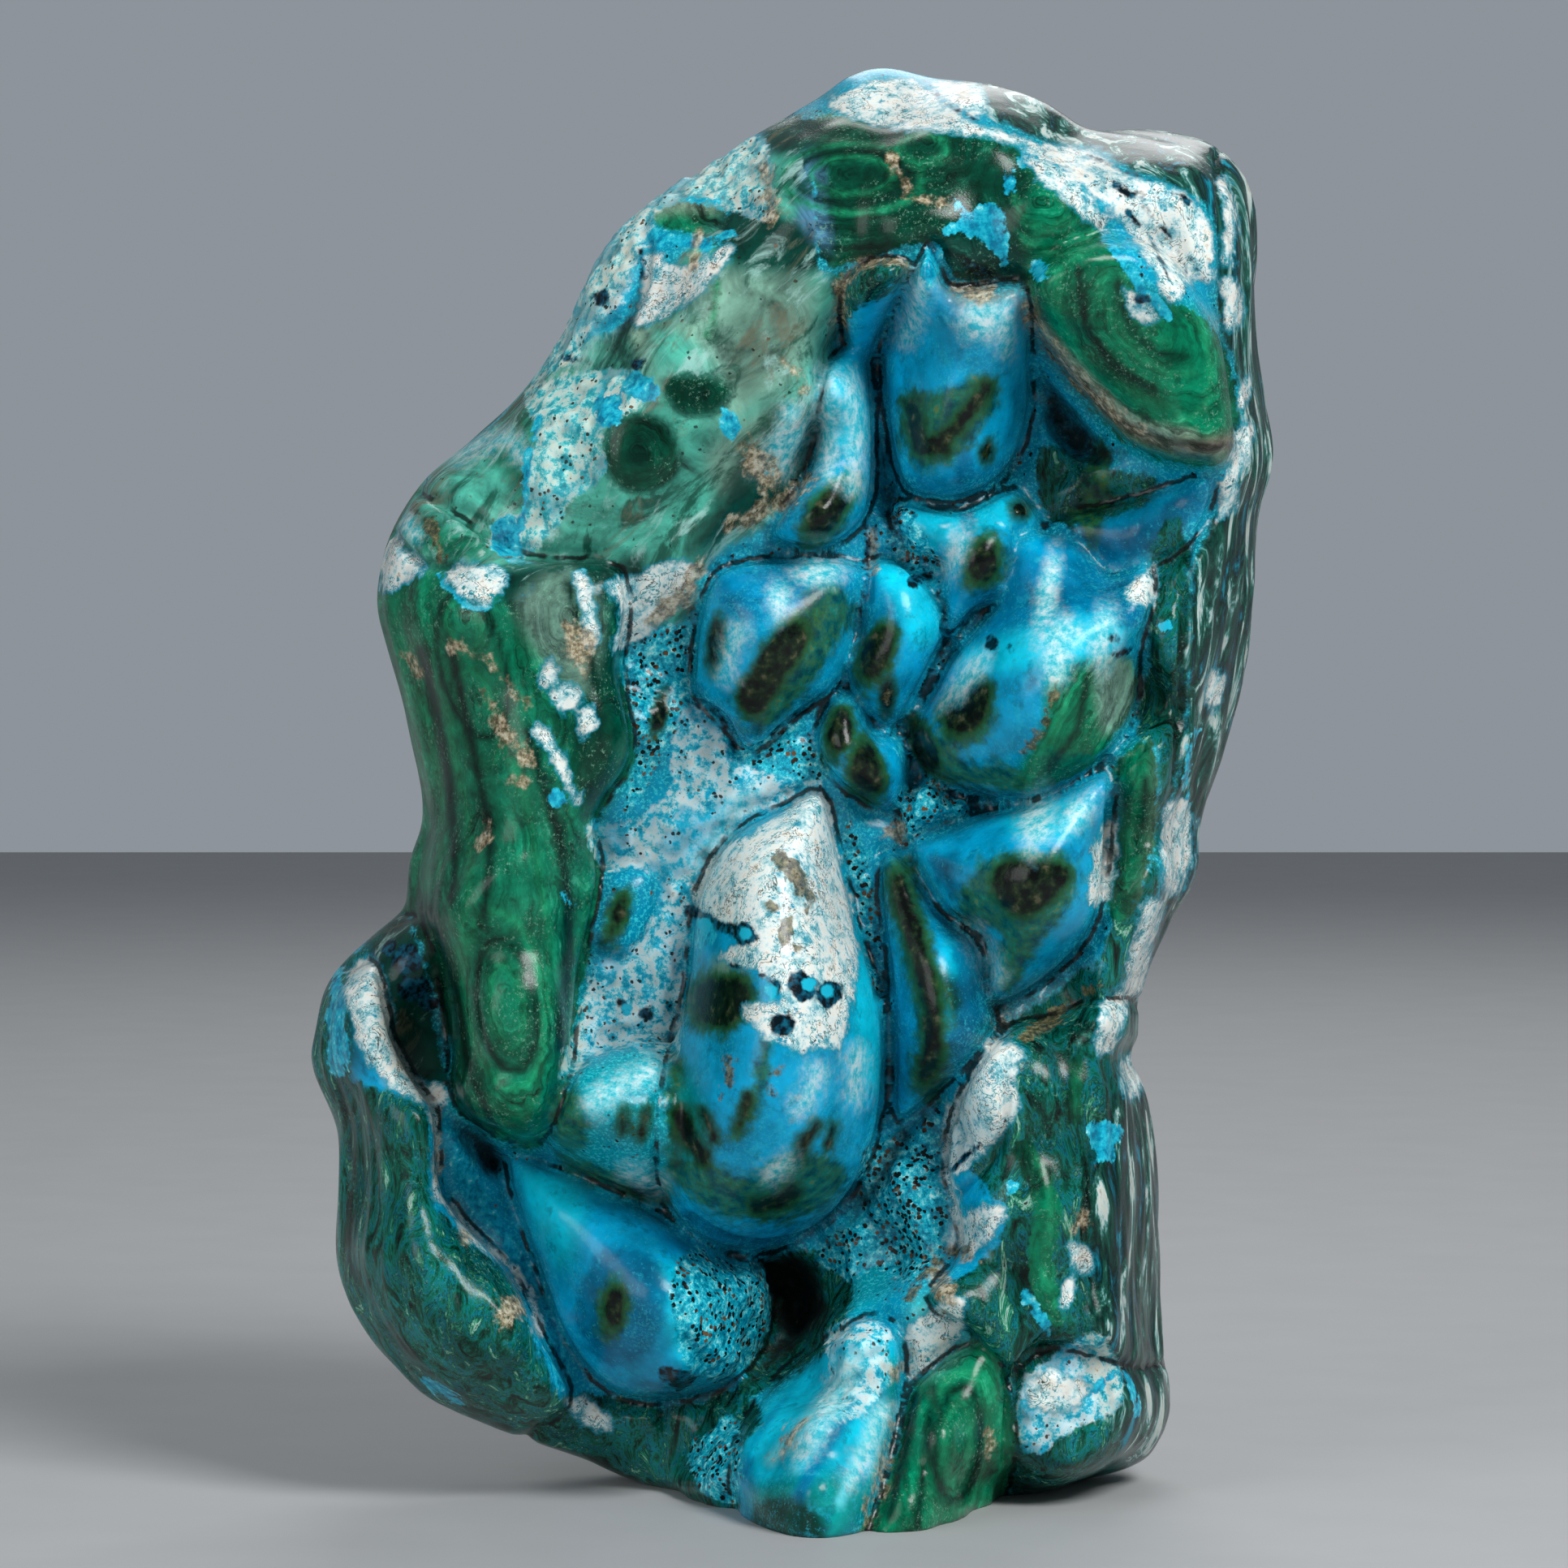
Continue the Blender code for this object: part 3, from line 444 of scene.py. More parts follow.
# Bright turquoise flecks and rims
TURQUOISES = [
    patch((1158, 290), (1189, 264), (1212, 252), (1235, 261), (1238, 300), (1241, 327), (1224, 312),
        (1206, 292), (1184, 285)),
    spot(1243, 225, 9, 17), spot(1280, 334, 10, 11), spot(1272, 198, 16, 12, 30),
    line(10, (1352, 256), (1364, 292), (1385, 322), (1402, 352), (1424, 370), (1441, 392)),
    line(7, (1426, 298), (1442, 330), (1456, 356)), line(6, (1456, 302), (1470, 323)),
    line(13, (804, 292), (842, 300), (882, 302), (900, 286)), spot(750, 505, 18, 20),
    spot(622, 664, 28, 18, 80), line(7, (664, 512), (652, 560), (646, 620), (640, 650)),
    line(9, (523, 698), (498, 716), (476, 728)), line(7, (540, 708), (575, 745), (600, 748)),
    spot(790, 478, 22, 18, 20), spot(898, 520, 18, 11, 70), line(5, (840, 243), (890, 250)),
    patch((406, 1215), (422, 1200), (430, 1300), (418, 1330), (402, 1290)),
    line(24, (560, 1410), (590, 1480), (630, 1540), (672, 1620), (694, 1700)),
    line(10, (524, 1702), (566, 1727)), spot(773, 1244, 9, 9), spot(997, 1213, 10, 12, -20),
    spot(1019, 1221, 9, 10), spot(919, 1150, 11, 11), spot(868, 1146, 24, 14, 100),
    patch((1344, 1388), (1378, 1386), (1372, 1428), (1348, 1424)), spot(952, 1222, 9, 14, 20),
    patch((1196, 1500), (1218, 1478), (1236, 1484), (1214, 1510)), spot(1250, 1462, 7, 10),
    line(9, (1100, 900), (1135, 960)), line(6, (1472, 900), (1462, 960), (1466, 1010)),
    line(6, (1554, 260), (1556, 420)), line(12, (1262, 1590), (1290, 1640)),
    line(7, (1340, 1720), (1384, 1690), (1400, 1740)), spot(1436, 772, 8, 8),
    line(9, (716, 706), (720, 740)), spot(686, 984, 12, 11), line(5, (735, 1010), (742, 1060)),
    line(12, (1180, 250), (1186, 262)), spot(1148, 322, 12, 26, 10), line(6, (690, 1100), (710, 1120)),
]
# Near-black blue spots and hair lines
INKS = [
    line(6, (1374, 228), (1390, 238), (1408, 242)), line(3, (1442, 238), (1468, 250)),
    line(3, (1342, 190), (1386, 212), (1420, 222)), line(3, (1390, 262), (1420, 300), (1440, 345)),
    line(3, (1140, 100), (1168, 128), (1204, 150)), line(3, (1410, 255), (1440, 290), (1462, 336)),
    spot(1406, 368, 8, 5), spot(990, 1216, 16, 20, -30), spot(1022, 1224, 18, 16, -60),
    line(4, (884, 1183), (930, 1199), (958, 1214), (956, 1236)), spot(964, 1262, 16, 14, 30),
    spot(919, 1150, 15, 15), line(14, (850, 1122), (872, 1134), (900, 1146)),
    line(4, (1358, 800), (1375, 808), (1396, 800)), spot(1372, 786, 6, 8), spot(1223, 794, 8, 9),
    spot(1242, 798, 5, 5), line(3, (1190, 320), (1240, 350)), spot(1125, 716, 6, 8),
    spot(1140, 712, 7, 4), line(5, (1104, 640), (1116, 690), (1160, 742), (1166, 782)),
    line(4, (848, 862), (872, 870), (890, 885), (906, 926)),
    line(4, (1166, 784), (1190, 766), (1222, 748)),
    line(4, (1040, 836), (1020, 860), (985, 880), (950, 905)), line(6, (1068, 640), (1066, 740)),
    line(5, (1086, 908), (1110, 905), (1128, 960)), line(7, (690, 440), (724, 446)),
    spot(740, 366, 12, 10), line(8, (790, 310), (792, 340)), spot(786, 448, 8, 6),
    line(5, (1104, 1000), (1092, 1018)), line(3, (1170, 1444), (1212, 1404)), spot(500, 1182, 18, 18),
    spot(512, 1218, 20, 14), spot(480, 1168, 10, 10), spot(528, 1236, 16, 9), spot(766, 1236, 8, 7),
    spot(796, 1248, 9, 9), spot(1178, 800, 4, 4), line(3, (1186, 330), (1232, 352)),
    spot(838, 1700, 18, 14), spot(820, 1694, 10, 12),
]
# Banded malachite
MALACHITE = [
    patch((985, 150), (1060, 142), (1150, 158), (1225, 163), (1268, 192), (1300, 214), (1350, 262),
        (1400, 350), (1470, 380), (1512, 440), (1530, 552), (1480, 574), (1400, 554), (1330, 484),
        (1276, 404), (1262, 350), (1180, 345), (1150, 300), (1060, 322), (1012, 325), (1004, 240),
        (990, 200)),
    patch((440, 700), (540, 690), (560, 720), (640, 745), (690, 700), (790, 700), (775, 780),
        (776, 860), (784, 940), (738, 1008), (744, 1084), (720, 1190), (704, 1320), (668, 1410),
        (620, 1406), (556, 1362), (556, 1300), (530, 1200), (505, 1130), (480, 1060)),
    patch((1128, 1700), (1150, 1686), (1200, 1650), (1238, 1690), (1252, 1780), (1225, 1870),
        (1130, 1940), (1050, 1910), (1092, 1830), (1112, 1750)),
    patch((1296, 840), (1322, 818), (1360, 812), (1396, 820), (1400, 860), (1370, 910), (1330, 950),
        (1262, 975), (1262, 945), (1290, 900)),
    patch((1372, 950), (1400, 915), (1425, 925), (1420, 1060), (1392, 1130), (1364, 1124),
        (1368, 1040)),
    line(34, (1262, 1420), (1290, 1480), (1282, 1560), (1300, 1620)),
    line(20, (1330, 1310), (1322, 1380)), spot(860, 487, 46, 30), spot(790, 560, 50, 54),
    spot(852, 268, 46, 18, 4), line(12, (884, 345), (880, 380), (872, 414)),
]
# Cloudy grey-green stone of the upper left
MINTS = [
    patch((470, 660), (520, 586), (583, 537), (635, 486), (692, 430), (770, 400), (786, 372),
        (850, 300), (905, 255), (955, 190), (1000, 185), (1008, 320), (1036, 350), (1030, 420),
        (1010, 520), (990, 590), (945, 650), (880, 690), (850, 760), (800, 800), (770, 720), (640, 720),
        (560, 705), (520, 694)),
    patch((930, 150), (985, 140), (1000, 200), (960, 220)),
    patch((440, 1150), (470, 1130), (500, 1125), (550, 1330), (520, 1345), (480, 1290), (466, 1200)),
    patch((690, 690), (740, 700), (752, 790), (700, 880), (650, 850), (640, 760)),
]
# Dark green stone streaked with teal, mint and brown
MOTTLED = [
    patch((360, 1340), (430, 1330), (480, 1345), (530, 1368), (536, 1480), (620, 1560), (660, 1650),
        (700, 1740), (760, 1800), (500, 1800), (340, 1600)),
    patch((1165, 1400), (1235, 1370), (1245, 1262), (1300, 1225), (1350, 1190), (1440, 1250),
        (1450, 1500), (1440, 1700), (1330, 1690), (1240, 1700), (1190, 1640), (1140, 1600),
        (1200, 1560), (1236, 1500)),
    patch((1420, 672), (1456, 640), (1470, 780), (1456, 930), (1440, 1000), (1410, 1190), (1370, 1230),
        (1366, 1140), (1420, 1060), (1425, 925), (1400, 915), (1412, 820)),
    patch((690, 1720), (760, 1722), (830, 1735), (900, 1715), (940, 1740), (905, 1800), (900, 1870),
        (760, 1830), (680, 1780)),
    patch((1285, 545), (1340, 575), (1420, 592), (1400, 625), (1320, 650), (1282, 620)),
    patch((1250, 1700), (1320, 1680), (1440, 1700), (1450, 1800), (1380, 1850), (1250, 1860)),
    patch((1030, 340), (1070, 318), (1120, 318), (1110, 350), (1060, 380), (1036, 400)),
    patch((930, 1560), (1030, 1540), (1040, 1640), (930, 1720), (900, 1720), (940, 1640)),
    patch((380, 1180), (440, 1170), (470, 1150), (440, 1200), (430, 1300), (440, 1350), (380, 1330)),
]
# Turquoise crust with many black specks
SPECKLED = [
    patch((838, 1542), (900, 1556), (948, 1566), (946, 1640), (900, 1700), (850, 1690), (830, 1640)),
    patch((1172, 1350), (1200, 1420), (1150, 1450), (1070, 1570), (1010, 1560), (1010, 1535),
        (1092, 1470), (1130, 1400)),
    patch((905, 925), (950, 905), (985, 884), (1002, 915), (1020, 958), (960, 960)),
    patch((1100, 615), (1120, 625), (1165, 700), (1150, 702), (1100, 690), (1096, 650)),
    patch((1040, 1000), (1064, 1040), (1078, 1100), (1092, 1200), (1080, 1230), (1062, 1140),
        (1044, 1060)),
    patch((770, 800), (850, 770), (850, 850), (800, 960), (770, 1000), (784, 930)),
    patch((1062, 1420), (1160, 1410), (1160, 1560), (1080, 1560)),
    patch((850, 1790), (900, 1745), (915, 1790), (905, 1850), (870, 1840)),
    patch((1100, 990), (1140, 960), (1172, 978), (1205, 995), (1140, 1026), (1112, 1042)),
]
# Olive inclusions
OLIVES = [
    line(20, (962, 1060), (980, 1080), (998, 1106)), line(5, (998, 1104), (994, 1126)),
    spot(968, 1150, 10, 16, 20), spot(950, 1122, 6, 6), spot(984, 1170, 6, 8),
    line(8, (900, 1300), (890, 1350)), line(8, (960, 1310), (950, 1350)), spot(1092, 858, 5, 12),
    line(10, (1120, 1600), (1150, 1560), (1190, 1540)),
    line(12, (1262, 1280), (1300, 1250), (1350, 1215)), line(6, (1300, 850), (1286, 890), (1262, 930)),
    line(10, (500, 610), (530, 650), (545, 690)),
]
# Bright blue dots inside the ink spots
DOTS = [
    spot(997, 1213, 8, 9, -20), spot(1019, 1221, 8, 8), spot(773, 1244, 8, 8), spot(919, 1150, 8, 8),
    spot(868, 1140, 12, 8, 30), spot(952, 1222, 6, 8, 20), spot(1280, 334, 5, 6), spot(1436, 772, 6, 7),
]
# The rings of the malachite: where they centre, how wide and high the innermost is, turn
RINGS = [
    (1050, 215, 1.5, 0.75, 0), (1140, 175, 1.2, 1.0, 0), (1284, 246, 1.1, 0.8, 20),
    (1420, 408, 0.8, 1.35, -52), (575, 760, 0.8, 1.3, -20), (590, 870, 0.8, 1.6, -12),
    (625, 1232, 0.65, 1.7, -8), (600, 1080, 0.7, 1.9, -6), (745, 920, 0.7, 1.6, 8),
    (1178, 1790, 0.8, 1.6, 6), (1330, 900, 0.5, 2.2, 28), (1400, 1030, 0.5, 2.4, 8),
    (1284, 1400, 0.6, 1.8, 6), (1290, 1560, 0.6, 1.6, -8), (510, 1560, 0.7, 1.5, -20),
    (868, 487, 1.0, 0.9, 0), (788, 556, 0.9, 1.0, 0), (470, 1400, 0.7, 1.4, -20),
    (700, 760, 0.8, 1.3, 0), (520, 650, 1.2, 0.8, -20),
]
# White and turquoise porous crust
CRUSTS = [
    patch((720, 1020), (760, 1015), (820, 985), (830, 900), (850, 870), (885, 905), (905, 940),
        (960, 925), (1000, 930), (1012, 975), (960, 992), (900, 1022), (856, 1090), (845, 1190),
        (838, 1290), (830, 1310), (760, 1290), (690, 1330), (712, 1250), (735, 1190), (800, 1150),
        (812, 1075), (745, 1072)),
    patch((647, 483), (700, 462), (744, 455), (790, 462), (806, 480), (784, 506), (741, 526),
        (744, 580), (700, 630), (650, 690), (612, 684), (600, 661), (622, 641), (645, 629), (646, 583),
        (660, 532)),
    patch((650, 470), (700, 390), (740, 310), (790, 255), (870, 200), (930, 168), (950, 200),
        (952, 268), (900, 262), (860, 240), (806, 262), (800, 300), (784, 322), (772, 370), (735, 400),
        (716, 442), (690, 455)),
    patch((1020, 1636), (1060, 1626), (1092, 1640), (1096, 1700), (1050, 1750), (1010, 1740),
        (1020, 1690)),
    patch((1256, 1712), (1300, 1670), (1350, 1640), (1384, 1690), (1372, 1740), (1320, 1764),
        (1264, 1790)),
]
# The deepest blue
ROYALS = [
    line(34, (1300, 660), (1370, 670), (1430, 650), (1480, 600)), spot(765, 1608, 54, 72, 8),
    line(12, (1140, 958), (1200, 982), (1270, 986), (1340, 956)),
    line(12, (1284, 470), (1330, 530), (1360, 560)), spot(1395, 755, 20, 16),
    line(30, (1180, 1140), (1200, 1240), (1160, 1320)), line(24, (860, 860), (920, 900), (1000, 870)),
    line(30, (1010, 880), (1052, 920), (1090, 990)), line(16, (950, 650), (990, 590), (1030, 560)),
    line(24, (1120, 600), (1190, 602), (1250, 570)), line(14, (770, 1000), (800, 960), (826, 900)),
    patch((735, 1080), (800, 1075), (806, 1130), (770, 1175), (730, 1155)),
    line(18, (1360, 1140), (1310, 1190), (1250, 1225)),
    line(22, (830, 1500), (900, 1530), (980, 1525), (1050, 1470)), spot(800, 1770, 60, 14, 110),
    line(20, (1330, 730), (1280, 742)), line(10, (905, 930), (880, 905)),
    line(12, (1150, 1060), (1190, 1110)), spot(1190, 600, 60, 12, 88),
]
# Soft tints of the stone's body: colour, how soft its edge is in mm, where
TINTS = [
    ("sage", 3, patch((650, 470), (700, 390), (740, 310), (790, 255), (870, 200), (930, 168),
        (950, 200), (952, 268), (900, 262), (806, 262), (784, 322), (735, 400))),
    ("ice", 3, patch((647, 483), (700, 462), (806, 480), (741, 526), (744, 580), (650, 690),
        (600, 661))),
    ("grey_brown", 2, line(22, (1266, 380), (1280, 410), (1304, 440), (1334, 472), (1370, 508),
        (1410, 536), (1470, 552), (1516, 545))),
    ("sage", 1.5, line(8, (1280, 400), (1304, 430), (1334, 462), (1370, 498), (1410, 524),
        (1470, 536))),
    ("grey_brown", 3, patch((1164, 345), (1215, 342), (1262, 348), (1250, 372), (1180, 378))),
    ("grey_brown", 2, line(14, (1036, 405), (1040, 348), (1066, 324), (1115, 320))),
    ("grey_brown", 3, patch((960, 770), (975, 735), (1010, 730), (1010, 770), (980, 800))),
    ("mint", 3, MINTS[0]), ("bottle", 3, MINTS[2]),
    ("sage", 3, patch((780, 400), (860, 400), (930, 440), (900, 520), (830, 500), (790, 440))),
    ("mid_green", 3, patch((480, 650), (520, 590), (600, 540), (650, 500), (640, 640), (560, 690))),
    ("dark_green", 3, patch((985, 150), (1150, 158), (1262, 195), (1262, 340), (1180, 345), (1060, 322),
        (1004, 300), (990, 200))),
    ("mid_green", 3, patch((540, 700), (640, 720), (620, 800), (560, 800))),
    ("mid_green", 5, patch((560, 840), (680, 860), (720, 1100), (690, 1300), (600, 1340), (540, 1200),
        (530, 1000))),
    ("dark_green", 3, patch((508, 1110), (548, 1130), (570, 1300), (600, 1400), (560, 1360),
        (520, 1210))),
    ("dark_green", 4, patch((700, 760), (770, 780), (770, 940), (720, 1000), (690, 900))),
    ("dark_green", 3, patch((1230, 1290), (1330, 1280), (1330, 1400), (1260, 1480), (1230, 1400))),
    ("blue", 3, patch((820, 1300), (1080, 1300), (1085, 1400), (1020, 1520), (860, 1510))),
    ("teal", 3, patch((680, 1340), (820, 1290), (870, 1400), (800, 1470), (700, 1440))),
    ("cyan", 3, patch((1060, 1140), (1090, 1200), (1092, 1340), (1060, 1330), (1050, 1230))),
    ("royal", 2, patch((880, 700), (1000, 690), (1056, 690), (1040, 730), (960, 760), (900, 760))),
    ("cyan", 2, patch((1070, 690), (1140, 702), (1165, 770), (1130, 800), (1100, 740))),
    ("cyan", 2, patch((1110, 615), (1240, 612), (1270, 640), (1180, 660), (1130, 690))),
    ("royal", 3, patch((1240, 690), (1400, 700), (1400, 790), (1240, 800), (1180, 810))),
    ("cyan", 3, patch((1180, 800), (1330, 760), (1400, 780), (1330, 815), (1200, 830))),
    ("blue", 3, patch((1180, 1010), (1270, 990), (1366, 955), (1365, 1020), (1280, 1050))),
    ("cyan", 3, patch((1240, 995), (1320, 985), (1340, 1020), (1260, 1035))),
    ("cyan", 3, patch((640, 1440), (720, 1465), (700, 1560), (670, 1540))),
    ("cyan", 3, patch((810, 1560), (940, 1580), (940, 1660), (850, 1700))),
    ("cyan", 2, patch((1012, 460), (1076, 450), (1074, 540), (1012, 560))),
    ("cyan", 3, patch((920, 1740), (1080, 1640), (1110, 1700), (1070, 1800), (940, 1830))),
    ("teal", 3, patch((930, 1830), (1060, 1820), (1040, 1900), (950, 1890))),
    ("cyan", 2, patch((772, 800), (850, 770), (846, 850), (780, 850))),
    ("cyan", 3, patch((1170, 1150), (1210, 1190), (1190, 1260), (1160, 1240))),
    ("cyan", 2, patch((1070, 1420), (1160, 1440), (1160, 1540), (1080, 1560))),
    ("mint", 4, patch((640, 640), (760, 610), (860, 560), (850, 680), (790, 740), (640, 700))),
    ("mint", 4, patch((800, 400), (870, 420), (910, 470), (880, 530), (810, 500))),
    ("mint", 3, patch((500, 600), (580, 560), (640, 600), (620, 660), (520, 640))),
    ("grey_green", 4, patch((850, 340), (990, 330), (1000, 440), (930, 500), (870, 440))),
    ("grey_green", 3, patch((870, 560), (930, 510), (990, 500), (985, 580), (900, 620))),
    ("bottle", 3, patch((890, 250), (1000, 260), (1030, 330), (900, 330))),
    ("bottle", 3, patch((1160, 290), (1250, 300), (1260, 350), (1180, 350))),
    ("bottle", 3, patch((620, 700), (790, 690), (790, 760), (640, 760))),
    ("bottle", 3, patch((940, 540), (1010, 500), (1000, 590), (900, 660), (840, 680))),
    ("dark_green", 1.5, patch((742, 560), (760, 516), (800, 508), (836, 540), (834, 590), (790, 610),
        (756, 596))),
    ("dark_green", 1.5, patch((812, 470), (850, 460), (900, 474), (884, 508), (836, 510))),
    ("lavender", 2, patch((982, 185), (1008, 190), (1016, 240), (1022, 305), (985, 270))),
    ("mint", 2, patch((950, 190), (975, 190), (980, 260), (960, 260))),
    ("bottle", 2, patch((940, 150), (1005, 140), (1000, 185), (950, 190))),
    ("bottle", 3, patch((1285, 560), (1420, 590), (1400, 625), (1300, 640))),
    ("olive", 3, patch((1416, 672), (1456, 640), (1462, 780), (1452, 930), (1430, 1000), (1400, 1190),
        (1385, 1180), (1420, 980), (1416, 820))),
    ("bottle", 3, patch((1150, 1200), (1260, 1240), (1260, 1290), (1200, 1300))),
    ("grey_brown", 3, patch((1240, 1240), (1370, 1180), (1330, 1260), (1260, 1290))),
    ("bottle", 3, patch((1340, 1240), (1430, 1230), (1430, 1700), (1340, 1690))),
    ("grey_green", 2, patch((1350, 820), (1392, 815), (1396, 870), (1360, 905))),
    ("bottle", 3, patch((466, 1150), (510, 1140), (550, 1330), (500, 1330), (480, 1240))),
    ("bottle", 4, patch((740, 1730), (900, 1720), (880, 1830), (780, 1800))),
    ("bottle", 3, patch((395, 1200), (430, 1190), (440, 1300), (400, 1330))),
    ("bottle", 3, patch((930, 1560), (1030, 1540), (1040, 1640), (930, 1720))),
    ("grey_green", 3, patch((640, 740), (700, 700), (740, 760), (720, 850), (660, 800))),
    ("teal", 3, patch((1010, 1540), (1070, 1500), (1100, 1580), (1040, 1620))),
    ("mint", 3, patch((1120, 1600), (1200, 1590), (1190, 1660), (1130, 1700))),
    ("grey_green", 2, patch((880, 1180), (920, 1195), (900, 1230), (870, 1225))),
]
# Single bands of the malachite that stand out: bright ones and dark ones
BRIGHT_BANDS = [
    line(9, (1344, 308), (1315, 324), (1303, 355), (1315, 396), (1350, 442), (1392, 480), (1440, 500)),
    line(9, (1366, 326), (1355, 355), (1370, 392), (1399, 432), (1436, 459), (1468, 458)),
    line(7, (1385, 330), (1384, 360), (1404, 398), (1440, 424)),
    line(7, (1470, 380), (1490, 440), (1486, 500), (1450, 520)),
    line(8, (1262, 296), (1298, 312), (1327, 310), (1343, 288)),
    line(7, (1250, 240), (1262, 270), (1290, 282), (1316, 268)), loop(7, 1050, 216, 50, 24),
    loop(7, 1052, 220, 86, 42), loop(7, 1136, 184, 30, 18), loop(9, 625, 1240, 20, 52, -8),
    loop(9, 622, 1232, 50, 110, -8), loop(7, 572, 770, 20, 34, -20), loop(7, 590, 885, 22, 60, -12),
    line(9, (600, 860), (640, 960), (664, 1080), (680, 1180), (668, 1290)),
    line(8, (545, 820), (560, 930), (580, 1030), (574, 1120), (566, 1180)),
    line(8, (504, 790), (528, 900), (546, 1000), (540, 1080)), loop(8, 1180, 1776, 16, 50, 4),
    loop(9, 1178, 1780, 40, 90, 6),
    line(8, (1214, 1680), (1232, 1740), (1234, 1820), (1200, 1864)),
    line(8, (1274, 1420), (1296, 1480), (1288, 1560), (1306, 1620)),
    line(8, (1328, 1316), (1330, 1370)), line(8, (1318, 850), (1300, 900), (1270, 944)),
    line(6, (1404, 960), (1392, 1040), (1386, 1100)), line(7, (884, 350), (880, 384), (872, 414)),
]
NIGHT_BANDS = [
    loop(10, 1050, 218, 70, 33), line(12, (1330, 330), (1336, 390), (1372, 450), (1420, 480)),
    line(9, (1378, 345), (1386, 386), (1420, 430), (1452, 440)), loop(10, 624, 1238, 36, 82, -8),
    line(12, (556, 800), (584, 930), (604, 1040), (594, 1140)),
    line(12, (520, 800), (548, 930), (560, 1040), (556, 1110)),
    line(14, (650, 900), (690, 1040), (700, 1160), (690, 1290)),
    line(12, (530, 1120), (560, 1210), (576, 1310), (610, 1390)), loop(9, 582, 820, 40, 90, -14),
    loop(9, 1180, 1778, 28, 70, 5), line(10, (1128, 1720), (1112, 1800), (1096, 1870)),
    line(10, (1150, 1710), (1140, 1800), (1130, 1880)), spot(788, 556, 18, 20), spot(862, 487, 16, 13),
    line(12, (700, 720), (730, 820), (740, 930)), line(12, (1300, 1300), (1310, 1400), (1330, 1500)),
    line(9, (1338, 840), (1326, 900), (1290, 950)), line(9, (1412, 960), (1404, 1050)),
]
# The front foot's long stripes
FOOT_STRIPES = [
    ("ice", line(12, (1066, 1660), (1010, 1730), (950, 1800))),
    ("royal", line(16, (1080, 1690), (1040, 1750), (990, 1830), (975, 1880))),
    ("ice", line(10, (1090, 1730), (1060, 1790), (1036, 1850))),
    ("royal", line(12, (1010, 1690), (950, 1750), (915, 1820))),
    ("teal", line(14, (1100, 1680), (1096, 1760), (1060, 1860))),
    ("bottle", patch((930, 1852), (980, 1846), (1020, 1880), (990, 1920), (930, 1900))),
    ("cyan", line(12, (1048, 1650), (980, 1720), (930, 1790))),
]
TINTS += [("bright_green", BRIGHT_SOFTNESS, band) for band in BRIGHT_BANDS]
TINTS += [("night_green", NIGHT_SOFTNESS, band) for band in NIGHT_BANDS]
TINTS += [(name, STRIPE_SOFTNESS, band) for name, band in FOOT_STRIPES]

# The streaky right side, from its front edge round to the back
STREAKS = [
    patch((1195, 92), (1218, 140), (1300, 178), (1350, 184), (1400, 212), (1470, 240), (1500, 290),
        (1500, 380), (1524, 460), (1530, 540), (1506, 620), (1470, 700), (1462, 880), (1450, 960),
        (1436, 1010), (1430, 1100), (1398, 1200), (1390, 1320), (1350, 1420), (1345, 1560),
        (1350, 1690), (1430, 1840), (1600, 1800), (1650, 600), (1600, 100), (1300, 40)),
]

# The name each mineral's distance has on the mesh; the pale clouds are partly painted highlight
FIELDS = {
    "eye": EYES, "green": GREENS, "white": WHITES, "pale": PALES_AND_HIGHLIGHTS, "cream": CREAMS,
    "turquoise": TURQUOISES, "ink": INKS, "mint": MINTS, "mottled": MOTTLED, "speckled": SPECKLED,
    "olive": OLIVES, "dot": DOTS, "malachite": MALACHITE, "crust": CRUSTS, "royal": ROYALS,
    "streak": STREAKS,
}


def linear(colour):
    """An sRGB hex colour as linear RGBA."""
    parts = [int(colour[i:i + 2], 16) / 255 for i in (1, 3, 5)]
    return tuple(p / 12.92 if p <= 0.04045 else ((p + 0.055) / 1.055) ** 2.4
                 for p in parts) + (1.0,)


# Colours of the stone under its specks and veins, as the eye sees them in daylight
BODY = {
    "malachite": "#00704E", "layered": "#12463C", "dark_green": "#00402E", "mid_green": "#0E7052",
    "royal": "#00729A", "blue": "#0092BC", "teal": "#008784", "cyan": "#04B2CC", "ice": "#66D2DE",
    "mint": "#46A08C", "grey_green": "#648C7C", "bottle": "#043A30", "lavender": "#4F86A4",
    "olive": "#48624F", "bright_green": "#158058", "night_green": "#012E22", "grey_brown": "#6E6A5C",
    "sage": "#94AE98",
}


def sheet_to_stone(points, depth):
    """Sheet points at a depth, as places in the stone's frame, in mm."""
    side = points[:, 0] - SHEET / 2
    rise = SHEET / 2 - points[:, 1]
    toward = SHEET_REACH * math.cos(SHEET_LEAN) + rise * math.sin(SHEET_LEAN)
    height = rise * math.cos(SHEET_LEAN) - SHEET_REACH * math.sin(SHEET_LEAN)
    reach = (depth - SIGHT[1]) / toward
    return np.column_stack([SIGHT[0] + side * reach, depth, SIGHT[2] + height * reach])


def stone_to_sheet(places):
    """Places in the stone's frame, in mm, as points on the sheet."""
    x, y, z = (places - np.array(SIGHT)).T
    away = y * math.cos(SHEET_LEAN) - z * math.sin(SHEET_LEAN)
    up = y * math.sin(SHEET_LEAN) + z * math.cos(SHEET_LEAN)
    return np.column_stack([SHEET / 2 + SHEET_REACH * x / away,
                            SHEET / 2 - SHEET_REACH * up / away])


